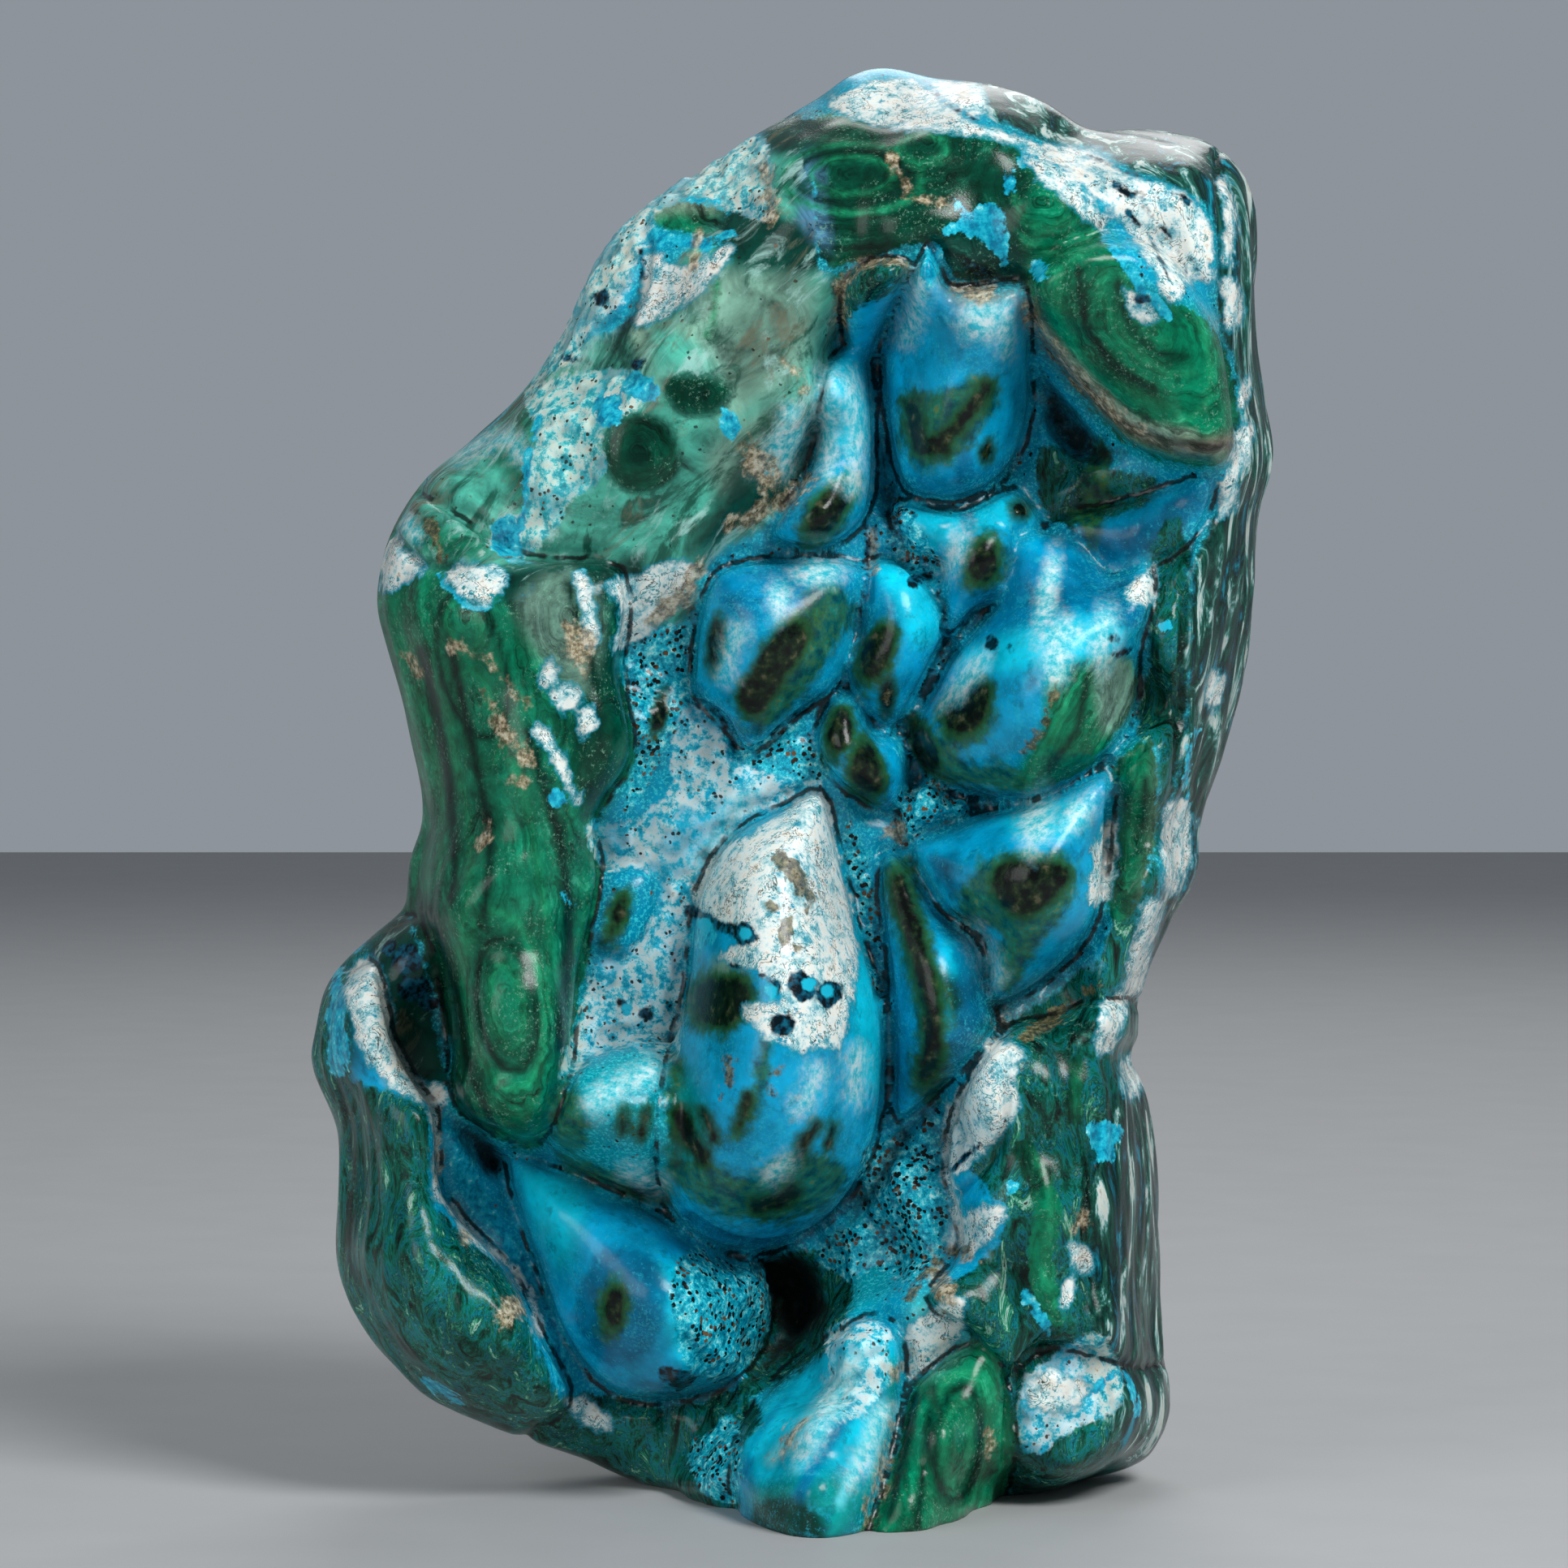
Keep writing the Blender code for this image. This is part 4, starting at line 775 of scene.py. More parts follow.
def rounded(points, steps=5, closed=True):
    """A Catmull-Rom curve through sheet points."""
    knots = np.array(points, dtype=float)
    if not closed:
        knots = np.vstack([2 * knots[0] - knots[1], knots, 2 * knots[-1] - knots[-2]])
    before, after = np.roll(knots, 1, axis=0), np.roll(knots, -1, axis=0)
    beyond = np.roll(knots, -2, axis=0)
    curve = []
    for t in np.arange(steps) / steps:
        curve.append(0.5 * (2 * knots + (after - before) * t
                            + (2 * before - 5 * knots + 4 * after - beyond) * t ** 2
                            + (3 * knots - before - 3 * after + beyond) * t ** 3))
    ring = np.stack(curve, axis=1)
    if closed:
        return ring.reshape(-1, 2)
    return np.vstack([ring[1:-2].reshape(-1, 2), knots[-2]])


def nearest_on(points, starts, ends):
    """Distance from points to the nearest of some straight stretches."""
    across, down = np.ascontiguousarray(points[:, 0]), np.ascontiguousarray(points[:, 1])
    nearest = np.full(len(points), FAR ** 2)
    for start, end in zip(starts, ends):
        along_x, along_y = end - start
        x, y = across - start[0], down - start[1]
        share = np.clip((x * along_x + y * along_y) / max(along_x ** 2 + along_y ** 2, 1e-9), 0, 1)
        np.minimum(nearest, (x - share * along_x) ** 2 + (y - share * along_y) ** 2, out=nearest)
    return np.sqrt(nearest)


def inside_distance(points, ring):
    """Distance to a ring in mm, positive inside it and negative outside."""
    crossings = np.zeros(len(points), dtype=int)
    for start, end in zip(ring, np.roll(ring, -1, axis=0)):
        edge = end - start
        spans = (start[1] > points[:, 1]) != (end[1] > points[:, 1])
        if edge[1]:
            crossing = start[0] + (points[:, 1] - start[1]) * edge[0] / edge[1]
            crossings += spans & (points[:, 0] < crossing)
    distance = nearest_on(points, ring, np.roll(ring, -1, axis=0))
    return distance * np.where(crossings % 2, 1, -1) * GRID


def shape_distance(points, shape, margin=60):
    """Distance inside a painted shape in mm, found only near it."""
    kind, data = shape
    result = np.full(len(points), -float(margin) * GRID)
    if kind == "spot":
        across, down, half_width, half_height, turn = data
        x, y = points[:, 0] - across, down - points[:, 1]
        wide = (x * math.cos(turn) - y * math.sin(turn)) / half_width
        tall = (x * math.sin(turn) + y * math.cos(turn)) / half_height
        length = np.hypot(wide, tall)
        mean = math.sqrt(half_width * half_height)
        return np.maximum((1 - length) * mean * GRID, result)
    knots = np.array(data if kind == "patch" else data[1], dtype=float)
    low, high = knots.min(axis=0) - margin, knots.max(axis=0) + margin
    near = np.all((points > low) & (points < high), axis=1)
    if not near.any():
        return result
    if kind == "patch":
        result[near] = inside_distance(points[near], rounded(data, PAINT_STEPS))
        return result
    width, route = data
    route = rounded(route, PAINT_STEPS, closed=False) if len(route) > 2 else np.array(route, dtype=float)
    result[near] = (width / 2 - nearest_on(points[near], route[:-1], route[1:])) * GRID
    return result


def field_of(shapes, points, where=None):
    """Distance in mm inside the nearest of some painted shapes, worked out where asked."""
    value = np.full(len(points), NONE_OF_IT)
    asked = np.arange(len(points)) if where is None else np.flatnonzero(where)
    for shape in shapes:
        value[asked] = np.maximum(value[asked], shape_distance(points[asked], shape))
    return value


def seam_field(points, where):
    """Distance in mm inside the nearest lobe: 0 where two lobes meet."""
    rings = [("patch", row[3]) for name, row in LOBES.items() if name not in MERGED_LOBES]
    return field_of(rings, points, where)


def smooth_share(value, low, high):
    """0 below low, 1 above high, smooth between them."""
    share = np.clip((value - low) / (high - low), 0, 1)
    return share * share * (3 - 2 * share)


def soft_distance(points, ring):
    """Like the distance to a ring, but smooth inside it, so a lobe gets no ridge."""
    total = np.zeros(len(points))
    for start, end in zip(ring, np.roll(ring, -1, axis=0)):
        edge = end - start
        length = math.hypot(*edge)
        near, far = -(points - start) @ edge / length, (end - points) @ edge / length
        off = (points - start) @ np.array([-edge[1], edge[0]]) / length
        square = np.maximum(off ** 2, 0.04)
        total += (far / np.sqrt(square + far ** 2) - near / np.sqrt(square + near ** 2)) / square
    return np.sqrt(2 / total) * GRID


def blended(points, spots, values, softness=40, power=2.0):
    """Values at spots spread smoothly over all points, each strongest near its spot."""
    square = ((points[:, None, :] - spots[None, :, :]) ** 2).sum(axis=2)
    weight = 1 / (square + softness ** 2) ** power
    return weight @ values / weight.sum(axis=1, keepdims=True)


def round_side(distance, radius):
    """0 at an edge, rising as a quarter circle to 1 at the radius."""
    share = np.clip(distance / radius, 0, 1)
    return np.sqrt(1 - (1 - share) ** 2)


def dome(distance, radius):
    """A slab with round sides, or a full dome where the shape is narrower than they are."""
    if radius < distance.max():
        return round_side(distance, radius)
    return np.sqrt(distance / distance.max())


def front_relief(points, depth):
    """Adds the lobes, the seams between them and the cavities to the front's depth."""
    lobes = np.full(len(points), np.inf)
    seam = np.zeros(len(points))
    for stand_out, sink, radius, outline in LOBES.values():
        ring = rounded(outline)
        distance = inside_distance(points, ring)
        inside = distance > 0
        rise = dome(soft_distance(points[inside], ring), radius)
        lobe = depth[inside] + sink - (stand_out + sink) * rise
        lobes[inside] = np.minimum(lobes[inside], lobe)
        near = np.exp(-(distance / SEAM_WIDTH) ** 2)
        seam = np.maximum(seam, np.where(inside, 0, sink * near))
    surface = np.where(np.isinf(lobes), depth + seam, lobes)
    for deep, lip, outline in CAVITIES.values():
        distance = inside_distance(points, rounded(outline))
        share = np.clip(distance / lip, 0, 1)
        surface = surface + deep * share * share * (3 - 2 * share)
    return nodule_relief(points, surface)


def nodule_relief(points, surface):
    """Adds small round grains that sit in the cavities and on the low lobes."""
    for across, down, radius in NODULES:
        square = radius ** 2 - (points[:, 0] - across) ** 2 - (points[:, 1] - down) ** 2
        surface = surface - np.sqrt(np.maximum(square, 0)) * GRID
    return surface


def round_the_edge(angle, spokes, values):
    """Values given at the ends of spokes from the centre, read off in any direction."""
    bearing = np.arctan2(-spokes[:, 1], spokes[:, 0])
    order = np.argsort(bearing)
    return np.interp(angle, bearing[order], values[order], period=2 * math.pi)


def bearing_of(points):
    """Direction of sheet points from the stone's centre."""
    return np.arctan2(STONE_CENTRE[1] - points[:, 1], points[:, 0] - STONE_CENTRE[0])


def edge_of(points):
    """Depth of the stone's outer edge, and how far its front rounds off, by direction."""
    rows = np.array(EDGE, dtype=float)
    spokes = rows[:, :2] - np.array(STONE_CENTRE)
    angle = bearing_of(points)
    return (round_the_edge(angle, spokes, rows[:, 2]),
            round_the_edge(angle, spokes, rows[:, 3]))


def noise_of(places, scale, seed=0.0):
    """Smooth noise at places in mm, stretched by a scale in mm for each direction."""
    x, y, z = (places / np.array(scale)).T + seed
    return np.array([noise.noise((a, b, c)) for a, b, c in zip(x, y, z)])


def stone_points(directions):
    """Moves the points of a unit ball onto the stone, as sheet points and depths."""
    ring = rounded(OUTLINE)
    across = np.hypot(directions[:, 0], directions[:, 2])
    angle = np.arctan2(directions[:, 2], directions[:, 0])
    spokes = ring - np.array(STONE_CENTRE)
    reach = round_the_edge(angle, spokes, np.hypot(spokes[:, 0], spokes[:, 1])) * across
    points = np.column_stack([STONE_CENTRE[0] + np.cos(angle) * reach,
                              STONE_CENTRE[1] - np.sin(angle) * reach])
    edge_depth, edge_round = edge_of(points)
    distance = np.maximum(inside_distance(points, ring), 0)

    posts = np.array(FRONT, dtype=float)
    front = front_relief(points, blended(points, posts[:, :2], posts[:, 2:], 30)[:, 0])
    posts = np.array(BACK, dtype=float)
    back = blended(points, posts[:, :2], posts[:, 2:], 140)[:, 0]
    plane = sheet_to_stone(points, np.zeros(len(points)))
    swell = [noise.noise((u * 0.026, v * 0.022, 3.7)) + 0.4 * noise.noise((u * 0.06, v * 0.048, 9.1))
             for u, _, v in plane]
    back = back + np.array(swell) * SWELL

    is_front = directions[:, 1] < 0
    depth = np.where(is_front, edge_depth + (front - edge_depth) * round_side(distance, edge_round),
                     edge_depth + (back - edge_depth) * round_side(distance, BACK_ROUND))
    return points, depth


def vertex_array(mesh):
    """A mesh's vertices in the stone's frame, in mm."""
    flat = np.empty(len(mesh.vertices) * 3)
    mesh.vertices.foreach_get("co", flat)
    return flat.reshape(-1, 3) / MM


def set_vertices(mesh, places):
    """Moves a mesh's vertices to places in mm."""
    mesh.vertices.foreach_set("co", (places * MM).ravel())
    mesh.update()


def vertex_normals(mesh):
    """A mesh's vertex normals."""
    flat = np.empty(len(mesh.vertices) * 3)
    mesh.vertex_normals.foreach_get("vector", flat)
    return flat.reshape(-1, 3)


def apply_modifier(piece, kind, **settings):
    """Adds a modifier, sets it and applies it."""
    modifier = piece.modifiers.new(kind, kind)
    for name, value in settings.items():
        setattr(modifier, name, value)
    bpy.ops.object.modifier_apply(modifier=modifier.name)


def cut_base(mesh):
    """Cuts the stone off flat at height 0 and closes the cut."""
    work = bmesh.new()
    work.from_mesh(mesh)
    everything = work.verts[:] + work.edges[:] + work.faces[:]
    bmesh.ops.bisect_plane(work, geom=everything, plane_co=(0, 0, 0), plane_no=(0, 0, 1),
                           dist=WELD, clear_inner=True)
    bmesh.ops.remove_doubles(work, verts=work.verts[:], dist=WELD)
    for vertex in work.verts:
        if vertex.co.z < WELD:
            vertex.co.z = 0
    open_edges = [edge for edge in work.edges if edge.is_boundary]
    bmesh.ops.triangle_fill(work, edges=open_edges, use_beauty=True)
    bmesh.ops.triangulate(work, faces=work.faces[:])
    bmesh.ops.recalc_face_normals(work, faces=work.faces[:])
    work.to_mesh(mesh)
    work.free()


def front_share(places, further=0.0):
    """1 on the front, 0 on the back, blended where they meet, or that many mm further back."""
    points = stone_to_sheet(places)
    edge_depth, _ = edge_of(points)
    inward = np.clip(inside_distance(points, rounded(OUTLINE)) / PARTING_REACH, 0, 1)
    parting = edge_depth + (PARTING_DEPTH - edge_depth) * inward + further
    return np.clip((parting - places[:, 1]) / PARTING_BLEND + 0.5, 0, 1)


def carve(mesh):
    """Fine relief: cracks between the lobes, grooves, rough crust and layered faces."""
    places, normals = vertex_array(mesh), vertex_normals(mesh)
    points = stone_to_sheet(places)
    front = front_share(places)
    near = front > 0
    raised = -SEAM_CUT * np.exp(-(seam_field(points, near) / SEAM_HALF) ** 2)
    raised -= GROOVE_CUT * smooth_share(field_of(GROOVES, points, near), -0.5, 0.3)
    crust = smooth_share(np.maximum(field_of(CRUSTS, points, near),
                                    field_of(SPECKLED, points, near)), -0.6, 0.8)
    lumps = noise_of(places, (2.2,) * 3) + 0.6 * noise_of(places, (1.1,) * 3, 7.0)
    pits = np.maximum(noise_of(places, (1.7,) * 3, 3.0), 0.25)
    raised += crust * CRUST_ROUGH * (lumps - 0.9 * pits)
    upright = 1 - np.abs(normals[:, 2])
    layered = smooth_share(field_of(STREAKS + MOTTLED, points, near), -1, 1) * upright
    raised += layered * LAYER_ROUGH * (noise_of(places, (3, 3, 18), 5.0)
                                       + 0.6 * noise_of(places, (1.5, 1.5, 9), 6.0))
    banded = smooth_share(field_of(MALACHITE, points, near), -1, 2)
    raised += banded * BAND_ROUGH * noise_of(places, (4.5, 4.5, 15), 8.0)
    set_vertices(mesh, places + normals * (raised * front)[:, None])


def thin_back(stone):
    """Takes faces out of the back, where the shape is plain, and leaves the front fine."""
    mesh = stone.data
    places = vertex_array(mesh)
    behind = front_share(places) == 0
    bpy.ops.object.mode_set(mode="EDIT")
    bpy.ops.mesh.select_mode(type="VERT")
    work = bmesh.from_edit_mesh(mesh)
    for vertex, far in zip(work.verts, behind):
        vertex.select = bool(far) and vertex.co.z > MM
    work.select_flush_mode()
    bmesh.update_edit_mesh(mesh)
    bpy.ops.mesh.decimate(ratio=BACK_SHARE)
    bpy.ops.object.mode_set(mode="OBJECT")


def make_stone():
    """The stone's fine shape: a ball pressed into the outline, evened out and smoothed."""
    bpy.ops.object.select_all(action="DESELECT")
    bpy.ops.mesh.primitive_uv_sphere_add(segments=BALL_SEGMENTS, ring_count=BALL_RINGS, radius=1)
    stone = bpy.context.active_object
    stone.name = "polished_stone"
    ball = vertex_array(stone.data) * MM
    facing = np.column_stack([ball[:, 0], -ball[:, 2], ball[:, 1]])
    set_vertices(stone.data, sheet_to_stone(*stone_points(facing)))
    apply_modifier(stone, "REMESH", mode="VOXEL", voxel_size=VOXEL)
    apply_modifier(stone, "SMOOTH", factor=0.5, iterations=EVEN_ROUNDS)

    places = vertex_array(stone.data)
    behind = np.clip((places[:, 1] - WEAR_STARTS) / WEAR_FADE, 0, 1)
    wave = noise_of(places, (22, 14, 42)) + 0.3 * noise_of(places, (9, 8, 17))
    set_vertices(stone.data, places + vertex_normals(stone.data) * (behind * wave * WEAR)[:, None])
    carve(stone.data)
    cut_base(stone.data)
    thin_back(stone)
    return stone


def add_field(mesh, name, values):
    """Stores one number for each vertex."""
    attribute = mesh.attributes.new(name, "FLOAT", "POINT")
    attribute.data.foreach_set("value", values.astype(np.float32))


def ring_phase(points):
    """Distance in mm from the nearest ring centre, which the malachite's bands follow."""
    best = np.full(len(points), FAR)
    for across, down, wide, tall, turn in RINGS:
        lean = math.radians(turn)
        x, y = points[:, 0] - across, down - points[:, 1]
        along = (x * math.cos(lean) - y * math.sin(lean)) / wide
        up = (x * math.sin(lean) + y * math.cos(lean)) / tall
        best = np.minimum(best, np.hypot(along, up) * GRID)
    return best


def hollow_of(mesh):
    """How far in mm each vertex lies under the evened-out surface: more in a crease."""
    edges = np.empty(len(mesh.edges) * 2, dtype=np.int32)
    mesh.edges.foreach_get("vertices", edges)
    ends = edges.reshape(-1, 2)
    first = np.concatenate([ends[:, 0], ends[:, 1]])
    second = np.concatenate([ends[:, 1], ends[:, 0]])
    places = vertex_array(mesh)
    count = np.bincount(first, minlength=len(places))[:, None]
    even = places
    for _ in range(HOLLOW_ROUNDS):
        sums = [np.bincount(first, weights=even[second, axis], minlength=len(places))
                for axis in range(3)]
        even = np.column_stack(sums) / count
    return ((even - places) * vertex_normals(mesh)).sum(axis=1)


def paint_fields(mesh):
    """Works out where each mineral lies, as distances in mm inside its edges."""
    places = vertex_array(mesh)
    points = stone_to_sheet(places)
    front = front_share(places, np.clip(3 + 9 * noise_of(places, (9, 9, 14), 7.0), 0, 9))
    near = front > 0
    fields = {}
    for name, shapes in FIELDS.items():
        behind = back_field(name, places)
        fields[name] = field_of(shapes, points, near) * front + behind * (1 - front)
        add_field(mesh, name, fields[name])
    add_field(mesh, "ring", ring_phase(points))
    add_field(mesh, "seam", seam_field(points, near) * front - NONE_OF_IT * (1 - front))
    # Where the openings are, which the material paints dark inside as shade
    gaps = [("patch", row[2]) for row in CAVITIES.values()]
    add_field(mesh, "gap", field_of(gaps, points, near) * front + NONE_OF_IT * (1 - front))
    # How deep each crease lies, which the material uses for painted shade in the creases
    add_field(mesh, "hollow", hollow_of(mesh))

    colours = np.tile(linear(BODY["blue"]), (len(points), 1))
    wave = noise_of(places, (26, 26, 30), 4.0)
    layers = [("teal", smooth_share(wave, 0.05, 0.2) * (1 - front)),
              ("malachite", smooth_share(fields["malachite"], -1.5, 0)),
              ("layered", smooth_share(fields["streak"], -1.5, 0))]
    layers += [(name, smooth_share(shape_distance(points, shape), -soft / 2, soft / 2) * front)
               for name, soft, shape in TINTS]
    for name, share in layers:
        colours += (np.array(linear(BODY[name])) - colours) * share[:, None]
    attribute = mesh.attributes.new("body", "FLOAT_COLOR", "POINT")
    attribute.data.foreach_set("color", colours.astype(np.float32).ravel())


def back_field(name, places):
    """Where each mineral lies on the back, in mm inside its edges."""
    if name == "streak":
        thinning = 0.5 * (places[:, 1] - PARTING_DEPTH)
        ragged = 4 + 14 * noise_of(places, (12, 16, 24), 101.0) - thinning
        return np.where(places[:, 0] > STREAK_STARTS, ragged, NONE_OF_IT)
    if name not in BACK_MINERALS:
        return np.full(len(places), NONE_OF_IT)
    size, level, seed = BACK_MINERALS[name]
    return (noise_of(places, (size, size, size * 1.4), seed) - level) * size * 0.5


def node(tree, kind, inputs=None, **settings):
    """Adds a shader node with its settings, its values and its links."""
    made = tree.nodes.new(kind)
    for name, value in settings.items():
        setattr(made, name, value)
    for name, value in (inputs or {}).items():
        socket = made.inputs[name]
        if isinstance(value, bpy.types.NodeSocket):
            tree.links.new(value, socket)
        else:
            socket.default_value = value
    return made


def ramp(tree, value, stops, interpolation="LINEAR"):
    """Colours laid along a value, from place and hex colour pairs."""
    made = node(tree, "ShaderNodeValToRGB", {"Fac": value})
    made.color_ramp.interpolation = interpolation
    elements = made.color_ramp.elements
    while len(elements) < len(stops):
        elements.new(0.5)
    for element, (place, colour) in zip(elements, stops):
        element.position = place
        element.color = linear(colour)
    return made.outputs["Color"]


def stone_material():
    """Polished chrysocolla and malachite: deep blue and banded green under a wet gloss."""
    material = bpy.data.materials.new("polished_chrysocolla_malachite")
    material.use_nodes = True
    tree = material.node_tree
    tree.nodes.clear()
    place = node(tree, "ShaderNodeTexCoord").outputs["Object"]

    def noise_at(size_mm, detail=3.0, rough=0.5, warp=0.0, vector=place):
        made = node(tree, "ShaderNodeTexNoise", {
            "Vector": vector, "Scale": 1 / (size_mm * MM), "Detail": detail,
            "Roughness": rough, "Distortion": warp})
        return made.outputs["Fac"]

    def maths(operation, a, b=0.0, c=0.0):
        made = node(tree, "ShaderNodeMath", operation=operation)
        for socket, value in zip(made.inputs, (a, b, c)):
            if isinstance(value, bpy.types.NodeSocket):
                tree.links.new(value, socket)
            else:
                socket.default_value = value
        return made.outputs["Value"]

    def step(value, low, high):
        made = node(tree, "ShaderNodeMapRange", {
            "Value": value, "From Min": low, "From Max": high}, interpolation_type="SMOOTHSTEP")
        return made.outputs["Result"]

    def between(value, low, high, soft):
        return maths("MULTIPLY", step(value, low - soft, low + soft),
                     step(value, high + soft, high - soft))

    def mix(share, under, over):
        made = node(tree, "ShaderNodeMix", data_type="RGBA")
        for index, value in ((0, share), (6, under), (7, over)):
            if isinstance(value, str):
                value = linear(value)
            if isinstance(value, bpy.types.NodeSocket):
                tree.links.new(value, made.inputs[index])
            else:
                made.inputs[index].default_value = value
        return made.outputs[2]

    def brighten(colour, factor):
        return node(tree, "ShaderNodeVectorMath", {"Vector": colour, "Scale": factor},
                    operation="SCALE").outputs["Vector"]

    def field(name):
        return node(tree, "ShaderNodeAttribute", attribute_name=name).outputs["Fac"]

    coarse = noise_at(3.0, 2.0)
    middle = noise_at(1.1, 3.0)
    fine = noise_at(0.3, 3.0, 0.6)
    warp = maths("ADD", maths("MULTIPLY_ADD", coarse, 2.6, -1.3),
                 maths("ADD", maths("MULTIPLY_ADD", middle, 1.8, -0.9),
                       maths("MULTIPLY_ADD", fine, 0.7, -0.35)))

    def ragged(name, softness=0.12, amount=0.8):
        edge = maths("MULTIPLY_ADD", warp, amount, field(name))
        return step(edge, -softness, softness)

    def specks(size_mm, radius, crowd):
        """Small round spots, thick in some places and missing in others."""
        cells = node(tree, "ShaderNodeTexVoronoi", {
            "Vector": place, "Scale": 1 / (size_mm * MM)}).outputs["Distance"]
        ragged_cells = maths("MULTIPLY_ADD", fine, 0.5, cells)
        reach = maths("MULTIPLY_ADD", step(noise_at(2.6, 2.0), *crowd), radius, 0.16)
        return step(maths("SUBTRACT", reach, ragged_cells), -0.04, 0.04)

    body = node(tree, "ShaderNodeAttribute", attribute_name="body").outputs["Color"]
    cloud = noise_at(5.5, 4.0, 0.6)
    patches = noise_at(7.0, 2.0)

    # Chrysocolla: deep blue inside each lobe, lighter and grainy toward its edges
    royal_share = step(maths("MULTIPLY_ADD", warp, 0.8, field("royal")), -1.2, 0.8)
    blue = mix(maths("MULTIPLY", royal_share, 0.85), body, "#005C80")
    blue = brighten(blue, maths("MULTIPLY_ADD", cloud, 2.2, -0.08))
    blue = mix(maths("MULTIPLY", step(noise_at(2.8, 4.0, 0.7), 0.55, 0.68), 0.5), blue, "#003F58")
    blue = mix(maths("MULTIPLY", step(noise_at(0.7, 4.0, 0.78), 0.57, 0.66), 0.4), blue, "#2CBCD2")
    blue = mix(maths("MULTIPLY", step(noise_at(2.2, 4.0, 0.65), 0.56, 0.74), 0.5), blue, "#1DB4CC")
    halo = step(maths("MULTIPLY_ADD", warp, 1.1, field("seam")), 2.2, 0.0)
    grains = step(noise_at(0.42, 3.0, 0.75), 0.50, 0.60)
    grain_share = maths("MULTIPLY", grains, maths("MULTIPLY_ADD", step(patches, 0.42, 0.62), 0.35, halo))
    blue = mix(maths("MULTIPLY", halo, 0.5), blue, "#0498B4")
    blue = mix(maths("MULTIPLY", grain_share, 0.7), blue, "#38C8D4")
    dark_specks = specks(1.0, 0.34, (0.5, 0.62))
    speck_colour = ramp(tree, noise_at(1.9, 1.0), [
        (0.42, "#0A0F10"), (0.52, "#1C1610"), (0.62, "#6B4A30")])
    blue = mix(maths("MULTIPLY", dark_specks, step(field("seam"), 1.2, 0.2)), blue, speck_colour)

    # Malachite: dark and light green bands that follow the rings, dusty between them
    rings = maths("MULTIPLY_ADD", coarse, 2.6, field("ring"))
    rings = maths("MULTIPLY_ADD", middle, 0.8, rings)
    along_rings = node(tree, "ShaderNodeCombineXYZ", {"X": rings, "Y": maths("MULTIPLY", patches, 2.0)})
    bands = node(tree, "ShaderNodeTexNoise", {
        "Vector": along_rings.outputs["Vector"], "Scale": 0.42, "Detail": 5.0, "Roughness": 0.72})
    bands = bands.outputs["Fac"]
    contrast = maths("MULTIPLY_ADD", step(noise_at(8.0, 2.0), 0.35, 0.65), 5.0, 3.0)
    band_light = maths("MULTIPLY_ADD", maths("SUBTRACT", bands, 0.5), contrast, 1.0)
    band_light = maths("MULTIPLY", band_light, maths("MULTIPLY_ADD", noise_at(2.6, 5.0, 0.7), 2.4, -0.2))
    malachite = brighten(body, maths("MAXIMUM", maths("MULTIPLY", band_light, 0.86), 0.1))
    malachite = mix(maths("MULTIPLY", step(band_light, 1.5, 3.0), 0.6), malachite, "#58B894")
    dust = step(noise_at(0.5, 4.0, 0.8), 0.54, 0.66)
    dust = maths("MULTIPLY", dust, step(noise_at(5.0, 3.0), 0.44, 0.6))
    malachite = mix(maths("MULTIPLY", dust, 0.55), malachite, "#7DB79A")
    dark_drift = maths("MULTIPLY", step(noise_at(3.2, 4.0, 0.7), 0.56, 0.70), 0.6)
    malachite = mix(dark_drift, malachite, "#062A22")

    # Layered faces: thin streaks of dark green, teal, pale and brown along the edge
    layer_space = node(tree, "ShaderNodeMapping", {"Vector": place, "Scale": (1.0, 0.8, 0.24)})
    layers = noise_at(3.4, 6.0, 0.66, 0.9, layer_space.outputs["Vector"])
    streaks = ramp(tree, layers, [
        (0.33, "#0A94AA"), (0.38, "#05505E"), (0.43, "#03120F"), (0.49, "#0B3A32"), (0.54, "#1F5A4C"),
        (0.57, "#5E9C98"), (0.60, "#C2D6D2"), (0.66, "#D8DCD2"), (0.74, "#8A8470")])
    streaks = mix(0.2, streaks, brighten(body, maths("MULTIPLY_ADD", layers, 3.0, -0.6)))

    # Pale porous crust: white and turquoise grains with black and brown specks
    crust_light = ramp(tree, noise_at(1.6, 5.0, 0.75), [
        (0.34, "#067E98"), (0.42, "#10A8C0"), (0.47, "#64D0D8"), (0.52, "#D8EEEA"), (0.64, "#ECEADC"),
        (0.74, "#B9A888")])
    pores = specks(0.9, 0.36, (0.44, 0.60))
    crust = mix(pores, mix(step(noise_at(6.0, 2.0), 0.5, 0.62), crust_light, "#0E9AB4"), speck_colour)
    tinted = brighten(body, maths("MULTIPLY_ADD", noise_at(1.3, 5.0, 0.75), 4.0, -0.9))
    crust = mix(0.3, mix(0.35, crust, crust_light), tinted)
    crust = mix(maths("MULTIPLY", pores, 0.9), crust, speck_colour)
    turquoise_crust = ramp(tree, noise_at(0.9, 5.0, 0.75), [
        (0.38, "#046C86"), (0.47, "#0A9AB4"), (0.54, "#22BCCC"), (0.62, "#8ADFE2"), (0.70, "#D8E6DC")])
    turquoise_crust = mix(specks(0.8, 0.5, (0.36, 0.52)), turquoise_crust, speck_colour)

